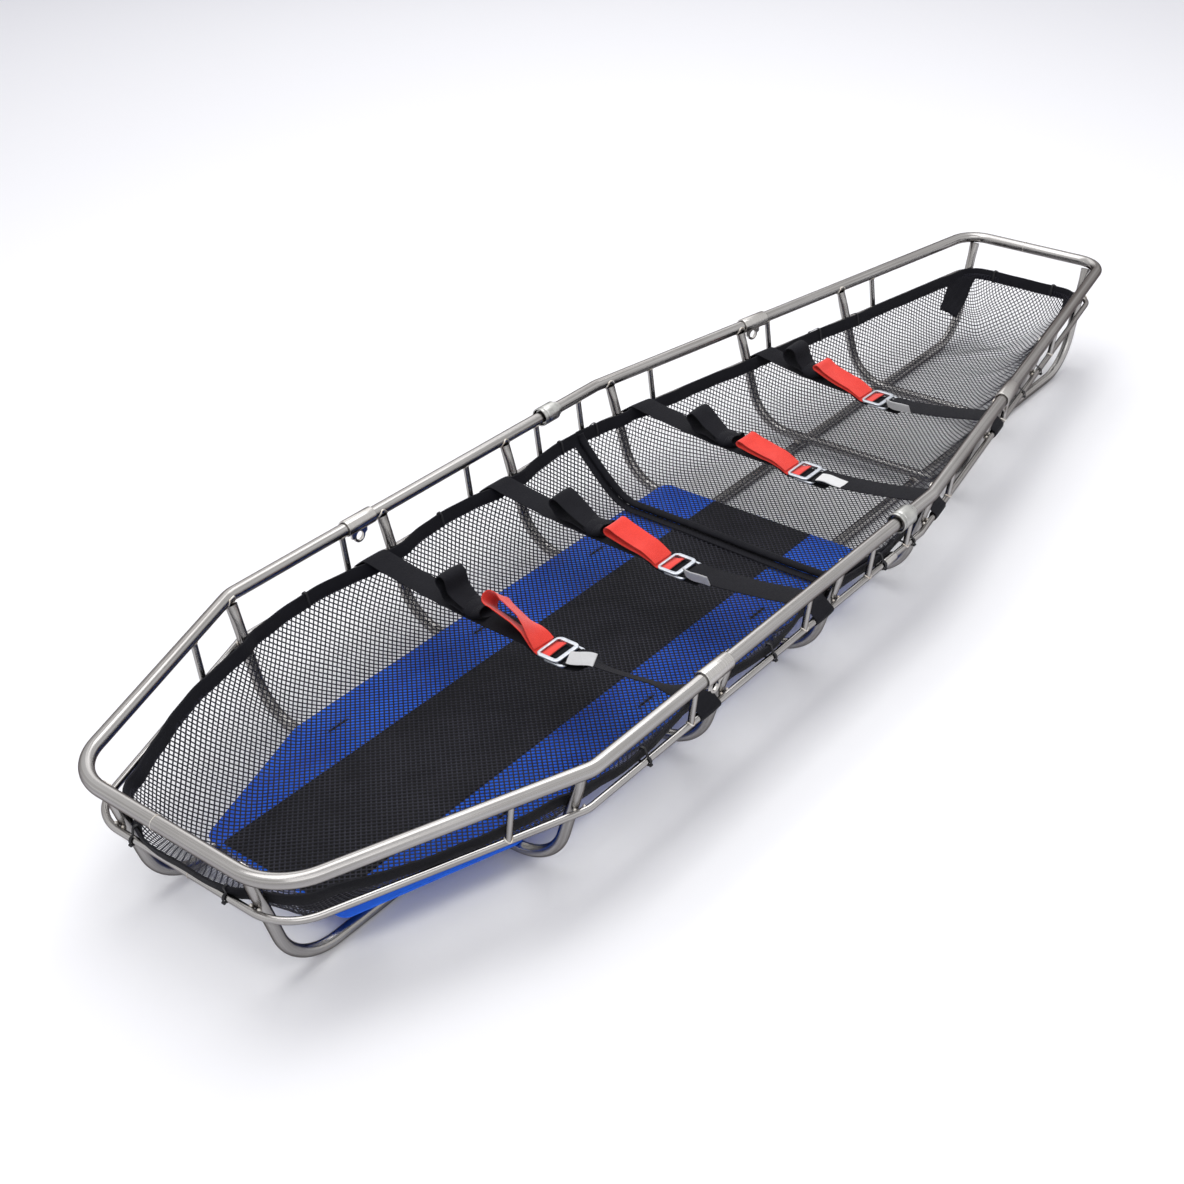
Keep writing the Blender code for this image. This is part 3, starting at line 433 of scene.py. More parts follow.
class Look:
    """A material being built: its nodes are made and joined by short calls."""

    def __init__(self, name, colour, metallic=0.0, roughness=0.5, **fixed):
        self.material = bpy.data.materials.new(name)
        self.material.use_nodes = True
        self.tree = self.material.node_tree
        self.shader = self.tree.nodes["Principled BSDF"]
        self.shader.inputs["Base Color"].default_value = (*colour, 1)
        self.shader.inputs["Metallic"].default_value = metallic
        self.shader.inputs["Roughness"].default_value = roughness
        for socket, value in fixed.items():
            self.shader.inputs[socket.replace("_", " ")].default_value = value
        self.material.diffuse_color = (*colour, 1)

    def node(self, kind, sockets, **settings):
        made = self.tree.nodes.new("ShaderNode" + kind)
        for name, value in settings.items():
            setattr(made, name, value)
        for name, value in sockets.items():
            if isinstance(value, bpy.types.NodeSocket):
                self.tree.links.new(value, made.inputs[name])
            else:
                made.inputs[name].default_value = value
        return made

    def math(self, operation, *values):
        return self.node("Math", dict(enumerate(values)), operation=operation).outputs[0]

    def weighed(self, *terms):
        """Sum of (value, weight) pairs."""
        total = self.math("MULTIPLY", *terms[0])
        for value, weight in terms[1:]:
            total = self.math("MULTIPLY_ADD", value, weight, total)
        return total

    def wave(self, value, wavelength):
        return self.math("SINE", self.math("MULTIPLY", value, 2 * math.pi / wavelength))

    def run(self, scale=(1, 1, 1)):
        """Coordinates along and across the piece, in metres times scale."""
        here = self.node("UVMap", {}, uv_map="run").outputs[0]
        return self.node("Mapping", {"Vector": here, "Scale": scale}).outputs[0]

    def place(self, scale=(1, 1, 1)):
        """The object's own coordinates, in metres times scale."""
        here = self.node("TexCoord", {}).outputs["Object"]
        return self.node("Mapping", {"Vector": here, "Scale": scale}).outputs[0]

    def noise(self, vector, scale=1.0, detail=3.0, roughness=0.5):
        return self.node("TexNoise", {"Vector": vector, "Scale": scale, "Detail": detail,
                                      "Roughness": roughness}).outputs["Fac"]

    def spread(self, value, low, high, out_low, out_high):
        return self.node("MapRange", {"Value": value, "From Min": low, "From Max": high,
                                      "To Min": out_low, "To Max": out_high}).outputs[0]

    def join(self, value, socket):
        self.tree.links.new(value, self.shader.inputs[socket])

    def tint(self, value, low, high, first, second):
        """Colour from first to second as the value goes from low to high."""
        share = self.spread(value, low, high, 0.0, 1.0)
        made = self.node("Mix", {0: share, 6: (*first, 1), 7: (*second, 1)}, data_type="RGBA")
        self.join(made.outputs[2], "Base Color")

    def rough(self, value, smoothest, roughest):
        self.join(self.spread(value, 0.3, 0.7, smoothest, roughest), "Roughness")

    def bump(self, height, strength, distance):
        made = self.node("Bump", {"Height": height, "Strength": strength, "Distance": distance})
        self.join(made.outputs[0], "Normal")


def brushed_steel(name, light=(0.45, 0.440, 0.435), dark=(0.275, 0.262, 0.254), streaks=260):
    """Satin stainless tube: fine streaks along it, faint blotches and polish marks."""
    look = Look(name, light, 1.0, 0.3, Specular_Tint=(0.16, 0.14, 0.14, 1))
    streak = look.noise(look.run((2, streaks, 1)), 1.0, 2.0, 0.5)
    blotch = look.noise(look.place(), 9.0, 4.0, 0.55)
    worn = look.noise(look.place(), 60.0, 5.0, 0.65)
    look.tint(look.weighed((streak, 0.75), (blotch, 0.25)), 0.34, 0.66, dark, light)
    look.join(look.math("ADD", look.spread(streak, 0.25, 0.75, 0.19, 0.25),
                        look.spread(worn, 0.5, 0.8, 0.0, 0.05)), "Roughness")
    look.bump(worn, 0.02, 0.0001)
    return look.material


def weld_bead(name):
    look = Look(name, (0.62, 0.58, 0.53), 1.0, 0.42)
    heat = look.noise(look.place(), 140.0, 3.0, 0.5)
    look.tint(heat, 0.35, 0.65, (0.46, 0.40, 0.34), (0.74, 0.72, 0.69))
    look.rough(heat, 0.28, 0.55)
    look.bump(look.noise(look.place(), 700.0, 3.0), 0.35, 0.0004)
    return look.material


def turned_metal(name):
    """Light-grey metal of the coupling nuts."""
    look = Look(name, (0.48, 0.48, 0.465), 1.0, 0.3, Specular_Tint=(0.3, 0.3, 0.3, 1))
    patch = look.noise(look.place(), 70.0, 4.0, 0.6)
    look.tint(patch, 0.3, 0.7, (0.38, 0.38, 0.37), (0.56, 0.56, 0.54))
    look.rough(patch, 0.24, 0.36)
    look.bump(look.noise(look.place(), 1800.0, 3.0, 0.6), 0.12, 0.0001)
    return look.material


def zinc_plate(name):
    look = Look(name, (0.50, 0.52, 0.56), 1.0, 0.42, Specular_Tint=(0.3, 0.3, 0.32, 1))
    worn = look.noise(look.place(), 240.0, 5.0, 0.65)
    look.tint(worn, 0.35, 0.7, (0.54, 0.56, 0.60), (0.38, 0.40, 0.44))
    look.rough(worn, 0.34, 0.52)
    look.bump(look.noise(look.place(), 1500.0, 2.0), 0.12, 0.0002)
    return look.material


def webbing(name, dark, light, sheen):
    """Woven strap: raised ribs across and slanting yarns between them."""
    look = Look(name, light, 0.0, 0.78, Sheen_Weight=sheen, Sheen_Roughness=0.45,
                Specular_IOR_Level=0.12)
    along, across, _ = look.node("SeparateXYZ", {0: look.run()}).outputs
    slant = look.wave(look.weighed((across, 1.0), (along, 0.6)), 0.0014)
    yarn = look.math("MULTIPLY_ADD", look.math("MULTIPLY", look.wave(along, 0.0017), slant), 0.5, 0.5)
    fuzz = look.noise(look.place(), 420.0, 4.0, 0.6)
    wear = look.noise(look.place(), 34.0, 4.0, 0.6)
    look.tint(look.weighed((yarn, 0.5), (fuzz, 0.42), (wear, 0.42)), 0.25, 0.95, dark, light)
    look.rough(fuzz, 0.66, 0.9)
    look.bump(look.weighed((yarn, 1.0), (fuzz, 0.6)), 0.55, 0.0004)
    return look.material


def net_yarn(name):
    look = Look(name, (0.020, 0.020, 0.025), 0.0, 0.62, Sheen_Weight=0.03,
                Sheen_Roughness=0.4, Specular_IOR_Level=0.12)
    twist = look.noise(look.place(), 900.0, 3.0, 0.6)
    age = look.noise(look.place(), 16.0, 4.0, 0.6)
    look.tint(look.math("ADD", twist, age), 0.7, 1.35, (0.008, 0.008, 0.012), (0.028, 0.028, 0.038))
    look.rough(twist, 0.5, 0.78)
    look.bump(twist, 0.4, 0.0003)
    return look.material


def coated_cloth(name, dark, light, crease=0.0072, gloss=0.4):
    """Coated fabric of the floor panel: fine plain weave under soft creases, its colour lighter on
    the creases' crests and darker in their hollows as painted highlight and painted shade.
    """
    look = Look(name, light, 0.0, 0.5, Specular_IOR_Level=gloss)
    x, y, _ = look.node("SeparateXYZ", {0: look.place()}).outputs
    weave = look.math("MULTIPLY", look.wave(x, 0.0011), look.wave(y, 0.0011))
    folds = look.noise(look.place((0.6, 1.6, 1)), 11.0, 5.0, 0.6)
    scuff = look.noise(look.place(), 55.0, 5.0, 0.7)
    # Colour follows the bump's crease heights, giving painted shade in the hollows and painted
    # highlight on the crests, with real scuffs mixed in.
    look.tint(look.weighed((folds, 0.7), (scuff, 0.3)), 0.34, 0.66, dark, light)
    look.rough(scuff, 0.42, 0.66)
    look.bump(look.weighed((folds, 1.0), (weave, 0.03)), 0.6, crease)
    return look.material


def tie_plastic(name):
    look = Look(name, (0.02, 0.02, 0.022), 0.0, 0.45, Specular_IOR_Level=0.2)
    scuff = look.noise(look.place(), 300.0, 3.0, 0.6)
    look.tint(scuff, 0.3, 0.7, (0.012, 0.012, 0.013), (0.032, 0.032, 0.035))
    look.rough(scuff, 0.42, 0.6)
    look.bump(scuff, 0.15, 0.0002)
    return look.material


STEEL = brushed_steel("brushed_steel")
COLLAR_STEEL = brushed_steel("collar_steel", (0.57, 0.555, 0.540), (0.43, 0.415, 0.40), 900)
WELD = weld_bead("weld")
NUT_METAL = turned_metal("nut_metal")
ZINC = zinc_plate("zinc_plate")
BLACK_WEB = webbing("black_webbing", (0.0030, 0.0030, 0.0042), (0.0125, 0.0125, 0.0165), 0.02)
RED_WEB = webbing("red_webbing", (0.62, 0.012, 0.012), (0.95, 0.075, 0.045), 0.35)
LABEL_CLOTH = webbing("label_cloth", (0.62, 0.62, 0.60), (0.82, 0.82, 0.80), 0.1)
NET_YARN = net_yarn("net_yarn")
# For each coated cloth, the darker colour paints the shade in its creases' hollows and the lighter
# colour paints the light on their crests.
BLUE_CLOTH = coated_cloth("blue_cloth", (0.009, 0.098, 0.720), (0.021, 0.190, 1.000), gloss=0.25)
STRIP_CLOTH = coated_cloth("strip_cloth", (0.0040, 0.0040, 0.0050), (0.0130, 0.0125, 0.0130),
                           0.0036, 0.10)
BLUE_THREAD = coated_cloth("blue_thread", (0.010, 0.050, 0.260), (0.030, 0.120, 0.500))
TIE = tie_plastic("tie_plastic")


# Tube frame

FLARE_REACH = 0.026
FLARE_WIDE = 1.16
FLARE_THIN = 0.74
LUMP_SHIFT = 0.0062
RAIL_LUMP = (0.0062, 0.0031)
RUNNER_LUMP = (0.0075, 0.0036)
LUG_HOLE_R = 0.0070
LUG_RIM_R = 0.0106
LUG_DROP = 0.0220
LUG_RISE = 0.0112
LUG_HALF_WIDTH = 0.0155
LUG_REACH = 0.0192
LUG_HALF_THICKNESS = 0.0025
LUG_BEVEL = 0.0006


def rails(half):
    gap = WAY[half] * GAP / 2
    top = half_outline(half, 0, SEAM_LEFT + gap, SEAM_RIGHT + gap)
    lower = half_outline(half, LOWER_RAIL_INSET, gap, gap)
    for name, outline, z, radius, sides in (("top_rail_", top, RAIL_Z, RAIL_R, 48),
                                            ("lower_rail_", lower, LOWER_Z, WIRE_R, 24)):
        shape = Shape()
        tube(shape, dense([(x, y, z) for x, y in outline], 0.02), radius, sides=sides)
        shape.make(name + half, STEEL, BODIES[half])


def joint_ring(start, way, radius, axis_point, axis, other_radius, ovals=(1, 1), sides=40):
    """Closed curve where a tube from start along way meets another round tube."""
    way = Vector(way).normalized()
    axis = Vector(axis).normalized()
    side = (axis - way * axis.dot(way)).normalized()
    other = way.cross(side)
    ring = []
    for k in range(sides):
        turn = 2 * math.pi * k / sides
        point = (Vector(start) + side * (math.cos(turn) * radius * ovals[0])
                 + other * (math.sin(turn) * radius * ovals[1]))
        offset = point - Vector(axis_point)
        across = offset - axis * offset.dot(axis)
        drift = way - axis * way.dot(axis)
        a = drift.dot(drift)
        b = 2 * across.dot(drift)
        c = across.dot(across) - other_radius ** 2
        inside = max(b * b - 4 * a * c, 0)
        point += way * ((-b - math.sqrt(inside)) / (2 * a))
        offset = point - Vector(axis_point)
        centre = Vector(axis_point) + axis * offset.dot(axis)
        ring.append(centre + (point - centre).normalized() * other_radius)
    return ring


def bead(shape, ring, size, ripple=0.16):
    """Weld bead along a closed curve, with the ripples of its runs."""
    count = len(ring)
    scales = [1 + ripple * math.sin(2 * math.pi * k * 11 / count) for k in range(count)]
    tube(shape, ring, size, up=(0.3, 0.2, 0.93), sides=10, closed=True,
         ovals=[(s, s) for s in scales])


def lump(shape, centre, way, length, size):
    """Short fillet of weld that lies in the corner between two touching tubes."""
    way = Vector(way).normalized()
    path = []
    ovals = []
    for k in range(11):
        share = k / 10 * 2 - 1
        path.append(Vector(centre) + way * (length * share))
        swell = max(0.12, math.sqrt(max(0, 1 - share * share)))
        swell *= 1 + 0.12 * math.sin(9 * share)
        ovals.append((swell, swell))
    tube(shape, path, size, up=(0.1, 0.2, 0.97), sides=12, ovals=ovals)


def flare(path, both_ends):
    """Section scales of an upright whose top end is squeezed flat along the rail above."""
    total = lengths(path)
    ovals = []
    for here in total:
        from_top = min(here, total[-1] - here) if both_ends else total[-1] - here
        share = ease_between(from_top, FLARE_REACH, 0)
        ovals.append((1 + (FLARE_WIDE - 1) * share, 1 + (FLARE_THIN - 1) * share))
    return ovals


def upright_ends(points, station, lean, radius, base_z):
    """Outward places of the top and the foot of a leaning tube inside the lower rail."""
    seat = seat_inboard(points, station, lean, radius)
    slope = math.tan(lean)
    return seat + (TUBE_TOP_Z - LOWER_Z) * slope, seat - (LOWER_Z - base_z) * slope


def top_bead(welds, high, way, rail_point, rail_way):
    """Bead where the flattened top of a rib or a post meets the top rail."""
    start = high - way.normalized() * 0.03
    ring = joint_ring(start, way, TUBE_R, rail_point, rail_way, RAIL_R, (FLARE_WIDE, FLARE_THIN))
    bead(welds, ring, 0.0015)


def pickets(half, welds):
    """Uprights between the two rails, with a bead at each end."""
    shape = Shape()
    for x in PICKETS[half]:
        for side in (1, -1):
            low = Vector((x, side * side_y(half, LOWER_RAIL_INSET, x), LOWER_Z))
            rail = Vector((x, side * side_y(half, 0, x), RAIL_Z))
            high = Vector((x, rail.y - side * PICKET_TOP_INSET, RAIL_Z - RAIL_R * 0.86))
            tube(shape, dense([low, high], 0.006), PICKET_R, up=(1, 0, 0), sides=24)
            rail_way = (1, side * side_slope(half, x), 0)
            way = high - low
            bead(welds, joint_ring(low, way, PICKET_R, rail, rail_way, RAIL_R), 0.0012)
            bead(welds, joint_ring(high, -way, PICKET_R, low, rail_way, WIRE_R * 0.96), 0.0013)
    shape.make("pickets_" + half, STEEL, BODIES[half])


def rib(number, x, welds):
    """Cross rib with its welds to the top rail, the lower rail and the runners."""
    half = half_of(x)
    top, foot = upright_ends(left_side(half, LOWER_RAIL_INSET), x, RIB_LEAN, TUBE_R, RIB_Z)
    corners = [(-top, TUBE_TOP_Z), (-foot, RIB_Z), (foot, RIB_Z), (top, TUBE_TOP_Z)]
    outline = rounded(corners, (0, RIB_BEND_R, RIB_BEND_R, 0))
    path = dense([(x, y, z) for y, z in outline], 0.006)
    shape = Shape()
    tube(shape, path, TUBE_R, up=(1, 0, 0), ovals=flare(path, both_ends=True))
    shape.make("rib_%d" % number, STEEL, BODIES[half])
    slope = side_slope(half, x)
    for side in (1, -1):
        high = Vector((x, side * top, TUBE_TOP_Z))
        way = Vector((0, side * (top - foot), TUBE_TOP_Z - RIB_Z))
        rail_point = (x, side * side_y(half, 0, x), RAIL_Z)
        top_bead(welds, high, way, rail_point, (1, side * slope, 0))
        contact_y = side * (side_y(half, LOWER_RAIL_INSET, x) - WIRE_R * 0.9)
        for shift in (-LUMP_SHIFT, LUMP_SHIFT):
            y = contact_y + side * (slope * shift + 0.0008)
            lump(welds, (x + shift, y, LOWER_Z), (0.12, 0, 1), *RAIL_LUMP)
        for shift in (-0.0052, 0.0052):
            place = (x + shift, side * RUNNER_Y, (RUNNER_Z + RIB_Z) / 2)
            lump(welds, place, (0, 1, 0), *RUNNER_LUMP)


def runner(half, side, welds):
    """Floor runner that turns up into its corner post."""
    way = WAY[half]
    points = [(y, x * way) for x, y in half_outline(half, LOWER_RAIL_INSET, 0, 0)]
    radius = TUBE_R / math.cos(math.pi / 12)
    top, foot = upright_ends(points, RUNNER_Y, POST_LEAN[half], radius, RUNNER_Z)
    corners = [(way * RUNNER_SPLIT / 2, RUNNER_Z), (way * foot, RUNNER_Z), (way * top, TUBE_TOP_Z)]
    outline = rounded(corners, (0, RUNNER_BEND_R, 0))
    path = dense([(x, side * RUNNER_Y, z) for x, z in outline], 0.006)
    shape = Shape()
    tube(shape, path, TUBE_R, up=(0, 1, 0), ovals=flare(path, both_ends=False))
    shape.make("runner_%s_%s" % (SIDE_NAMES[side], half), STEEL, BODIES[half])
    high = Vector((way * top, side * RUNNER_Y, TUBE_TOP_Z))
    line = Vector((way * (top - foot), 0, TUBE_TOP_Z - RUNNER_Z))
    top_bead(welds, high, line, (way * END_X, 0, RAIL_Z), (0, 1, 0))
    contact_x = way * (END_X - LOWER_RAIL_INSET - WIRE_R * 0.9)
    for shift in (-LUMP_SHIFT, LUMP_SHIFT):
        lump(welds, (contact_x, side * RUNNER_Y + shift, LOWER_Z), (0, 0.12, 1), *RAIL_LUMP)


def seams(half, welds):
    """Butt seams where each bent rail closes on itself, at the end of its half."""
    for radius, z, x, y in ((RAIL_R, RAIL_Z, END_X, 0.018),
                            (WIRE_R, LOWER_Z, END_X - LOWER_RAIL_INSET, -0.012)):
        ring = [Vector((WAY[half] * x + radius * math.cos(t), y, z + radius * math.sin(t)))
                for t in np.linspace(0, 2 * math.pi, 48, endpoint=False)]
        bead(welds, ring, 0.0005, 0.3)


def sleeve_profile(half, hole, outer):
    return [(-half, hole), (-half, outer), (half, outer), (half, hole)]


def coupling(side):
    """Threaded nut over the break, its bored mouth towards the head, and the slip sleeve."""
    seam = SEAM_LEFT if side == 1 else SEAM_RIGHT
    name = SIDE_NAMES[side]
    hole = RAIL_R + GAP
    start = -0.026
    end = start + 0.042
    profile = [(start, 0.0128), (start, 0.0150), (start + 0.0060, 0.0150), (start + 0.0068, 0.0143),
               (start + 0.0084, 0.0143), (start + 0.0092, 0.0150), (end - 0.0085, 0.0150),
               (end - 0.0062, 0.0118), (end - 0.0040, 0.0114), (end, 0.0114), (end, hole),
               (0.0048, hole), (0.0048, 0.0116), (start + 0.010, 0.0116), (start + 0.010, 0.0128)]
    place = Matrix.Translation((seam, side * RAIL_HALF_WIDTH, RAIL_Z))
    shape = Shape()
    turned(shape, eased(profile, 0.0007), place, 64)
    shape.make("coupling_nut_" + name, NUT_METAL, "nut_" + name)

    profile = sleeve_profile(0.014, WIRE_R + GAP, 0.0070)
    place = Matrix.Translation((0, side * (RAIL_HALF_WIDTH - LOWER_RAIL_INSET), LOWER_Z))
    shape = Shape()
    turned(shape, eased(profile, 0.0006), place)
    shape.make("lower_rail_sleeve_" + name, COLLAR_STEEL, "foot_half")


def collar(number, side, x):
    """Bridle collar: a bevelled sleeve with a holed lug below it."""
    half = half_of(x)
    place = (Matrix.Translation((x, side * side_y(half, 0, x), RAIL_Z))
             @ Matrix.Rotation(math.atan(side_slope(half, x)) * side, 4, "Z"))
    shape = Shape()
    turned(shape, eased(sleeve_profile(0.027, RAIL_R + GAP, 0.0124), 0.0008), place, 64)
    lug_plate(shape, place)
    name = "collar_%s_%d" % (SIDE_NAMES[side], number)
    shape.make("bridle_" + name, COLLAR_STEEL, name)


def lug_reach(way):
    """Distance from the middle of the lug's hole to its edge: round below, pointed above."""
    if way[1] <= 0:
        return LUG_RIM_R
    reach = LUG_RISE / way[1]
    reach = min(reach, LUG_HALF_WIDTH / max(abs(way[0]), 1e-6)) if reach < 0.06 else LUG_HALF_WIDTH
    return max(LUG_RIM_R, min(reach, LUG_REACH))


def lug_plate(shape, place):
    """Triangular plate with a round hole and softened edges."""
    steps = 40
    t, e = LUG_HALF_THICKNESS, LUG_BEVEL
    rings = []
    for k in range(steps):
        turn = 2 * math.pi * k / steps - math.pi / 2
        ux, uz = math.cos(turn), math.sin(turn)
        reach = lug_reach((ux, uz))
        section = ((LUG_HOLE_R + e, -t), (LUG_HOLE_R, -t + e), (LUG_HOLE_R, t - e),
                   (LUG_HOLE_R + e, t), (reach - e, t), (reach, t - e), (reach, -t + e),
                   (reach - e, -t))
        rings.append([place @ Vector((ux * r, y, -LUG_DROP + uz * r)) for r, y in section])
    across = [0.001 * k for k in range(9)]
    along = [0.0015 * k for k in range(steps + 1)]
    shape.loft(rings, along, across, closed=True)


def frame_halves():
    for half in WAY:
        welds = Shape()
        rails(half)
        pickets(half, welds)
        seams(half, welds)
        for side in (1, -1):
            runner(half, side, welds)
        for number, x in enumerate(RIBS_HEAD + RIBS_FOOT, 1):
            if half_of(x) == half:
                rib(number, x, welds)
        welds.make("welds_" + half, WELD, BODIES[half], angle=180)
    for side in (1, -1):
        coupling(side)
        for number, x in enumerate(COLLARS, 1):
            collar(number, side, x)
    for node, look in (("coupling_spigot_", STEEL), ("coupling_boss_", NUT_METAL),
                       ("coupling_flange_", NUT_METAL)):
        for name in SIDE_NAMES.values():
            frame["nodes"][node + name].material_slots[0].material = look


# Net bed

NET_SPAN = 1.3
HEM_BOW = 0.004
BINDING_STEPS = 8

# Shares of its flat rectangle that a net's strands may cover
MOST_COVER = 0.9
LEAST_COVER = 0.31

# Stations where ribs and straps hold the binding in; between them the ties pull it outwards
HOLDS = tuple(sorted(RIBS_HEAD + RIBS_FOOT + STRAPS + (-0.985, 0.985)))
HOLD_REACH = 0.012
PULL = {"head": 0.014, "foot": 0.003}
END_PULL = {"head": 0.025, "foot": 0.002}
END_HOLD = RUNNER_Y - HOLD_REACH

# Upper and lower edges of the corner patches, as distances from the end and from the side
PATCH_TOP = ((0.066, 0.000), (0.025, 0.001), (0.005, 0.012))
PATCH_BOTTOM = ((0.117, 0.021), (0.105, 0.029), (0.093, 0.041))
PATCH_LIFT = 0.0018
PATCH_SIDES = {"head": (-1,), "foot": (1, -1)}


def net_profile():
    """Section of the net from inside its binding down the hanging wall to the level part.

    Each row is distance along the cloth, distance inboard of the binding's own inset, height.
    """
    top = BINDING_TOP_Z - NET_TUCK
    rows = [(0.0, (LOWER_Z - top) * math.tan(RIB_LEAN), top)]
    for run in list(np.linspace(0.002, NET_WALL_RUN, 60)) + [0.4]:
        fall = max(0.0, 1 - run / NET_WALL_RUN) ** NET_WALL_BOW
        z = NET_Z + (LOWER_Z - 0.001 - NET_Z) * fall
        rows.append((rows[-1][0] + math.dist(rows[-1][1:], (run, z)), run, z))
    return np.array(rows)


CLOTH, RUN, RISE = net_profile().T
PROFILE_REACH = float(np.interp(NET_WALL_RUN + 0.001, RUN, CLOTH))
PROFILE_SLACK = PROFILE_REACH - NET_WALL_RUN - 0.001


def side_pull(x):
    """How far the ties draw the side of the binding outwards at x."""
    x = np.asarray(x, float)
    pull = np.zeros_like(x)
    for a, b in zip(HOLDS, HOLDS[1:]):
        share = np.clip((x - a - HOLD_REACH) / (b - a - 2 * HOLD_REACH), 0, 1)
        most = PULL[half_of((a + b) / 2)]
        pull += min(most, 0.08 * (b - a)) * np.sin(np.pi * share)
    return pull


def end_pull(half, y):
    """How far the ties draw the end of the binding outwards at y."""
    share = np.clip((np.asarray(y, float) + END_HOLD) / (2 * END_HOLD), 0, 1)
    return END_PULL[half] * (1 - (1 - np.sin(np.pi * share)) ** 3)


def met(first, second):
    """Height of the net where it has risen this much from a side and from an end."""
    return np.minimum(NET_Z + (first ** 3 + second ** 3) ** (1 / 3), RISE[0])


def net_places(half, split, t, s):
    """World places of cloth points t along from the split and s across from the middle.

    Also how far each point lies from the nearest outer edge.
    """
    way = WAY[half]
    end_x = END_X - BINDING_INSET
    girth = end_x - way * split + PROFILE_SLACK
    from_end = np.maximum(girth - t, 0)
    end_x_here = way * (end_x - np.interp(from_end, CLOTH, RUN))
    x = np.where(t < girth - PROFILE_REACH, split + way * t, end_x_here)
    points = left_side(half, BINDING_INSET)
    widths = np.interp(x, [p[0] for p in points], [p[1] for p in points])
    from_side = widths + PROFILE_SLACK - np.abs(s)
    on_wall = np.maximum(from_side, 0)
    side_y_here = np.sign(s) * (widths - np.interp(on_wall, CLOTH, RUN))
    y = np.where(from_side > PROFILE_REACH, s, side_y_here)
    high = np.maximum(np.interp(on_wall, CLOTH, RISE) - NET_Z, 0)
    other = np.maximum(np.interp(from_end, CLOTH, RISE) - NET_Z, 0)
    z = met(high, other)
    up = np.clip((z - NET_Z) / (LOWER_Z - NET_Z), 0, 1) ** 2
    side_share = high ** 3 / (high ** 3 + other ** 3 + 1e-12)
    pulled_y = y + np.sign(s) * side_pull(x) * up * side_share
    pulled_x = x + way * end_pull(half, y) * up * (1 - side_share)
    return pulled_x, pulled_y, z + net_waves(x, y, z), np.minimum(from_side, girth - t)


def net_waves(x, y, z):
    """Slack of the net: it sags between ribs and ripples a little."""
    ripple = (0.0007 * np.sin(x * 37 + 1.3 * np.sin(y * 23)) * np.cos(y * 29 + 0.6)
              + 0.0005 * np.sin(x * 71 + y * 53))
    free = np.clip((z - NET_Z) / 0.02, 0, 1) * np.clip((LOWER_Z - 0.01 - z) / 0.02, 0, 1)
    foot = np.clip((x - 0.70) / 0.20, 0, 1) * np.clip((0.1 - z) / 0.03, 0, 1)
    folds = 0.0045 * np.clip(np.sin(x * 44 + y * 31 + 1.2 * np.sin(y * 19)), 0, 1) ** 2
    return np.abs(ripple) * 0.5 + ripple * free * 2.2 + folds * foot


def net(half):
    """Real lattice of slanting strands with thickness, cut off inside the binding."""
    split = NET_SPLIT_X + WAY[half] * NET_SPLIT_GAP
    count = int(NET_SPAN / NET_PITCH)
    lines = np.arange(-count * 2, count * 2 + 1)
    lines = (lines // 2) * NET_PITCH + (lines % 2) * NET_STRAND[half]
    u, v = np.meshgrid(lines, lines, indexing="ij")
    t = (u + v) / math.sqrt(2)
    s = (u - v) / math.sqrt(2)
    x, y, z, away = net_places(half, split, t, s)
    return lattice(half, x, y, z, (away > 0.0) & (t > 0.0))


def lattice(half, x, y, z, inside):
    """The strands as one piece for the net's floor and one for its walls, with flat sizes."""
    rows, columns = x.shape
    i, j = np.meshgrid(np.arange(rows - 1), np.arange(columns - 1), indexing="ij")
    whole = inside[:-1, :-1] & inside[1:, :-1] & inside[:-1, 1:] & inside[1:, 1:]
    solid = whole & ~((i % 2 == 1) & (j % 2 == 1))
    index = np.arange(rows * columns).reshape(rows, columns)
    quads = np.stack([index[:-1, :-1], index[1:, :-1], index[1:, 1:], index[:-1, 1:]], -1)[solid]
    low = z[:-1, :-1][solid] < NET_Z + NET_FLOOR_RISE
    points = np.stack([x, y, z], -1).reshape(-1, 3)
    parts = {}
    for part, faces in (("floor", quads[low]), ("wall", quads[~low])):
        used, inverse = np.unique(faces, return_inverse=True)
        piece = "net_%s_%s" % (part, half)
        mesh = bpy.data.meshes.new(piece)
        mesh.from_pydata(points[used].tolist(), [], inverse.reshape(-1, 4).tolist())
        made = finish_mesh(mesh, piece, NET_YARN, BODIES[half], 60)
        thicken(made, NET_THICKNESS)
        parts[part] = (made, *flat_size(points[used], sum(p.area for p in mesh.polygons)))
    return parts


def flat_size(points, area):
    """Width, length and cloth area of a net before it is hung."""
    low, high = points.min(0), points.max(0)
    wide = float(high[1] - low[1])
    long = max(float(high[0] - low[0]), area / MOST_COVER / wide)
    if area < LEAST_COVER * wide * long:
        long = area / LEAST_COVER / wide
    return wide, long, area


def binding_section(top):
    """Closed section of the folded band, as (inward, height) points down one face and up."""
    section = []
    low = top - BINDING_HEIGHT
    for face, start, end in ((-1, top, low), (1, low, top)):
        for share in spaced(0, 1, BINDING_STEPS):
            plump = BINDING_THICKNESS / 2 * (0.72 + 0.28 * math.sin(math.pi * share))
            section.append((face * plump, start + (end - start) * share))
    return section


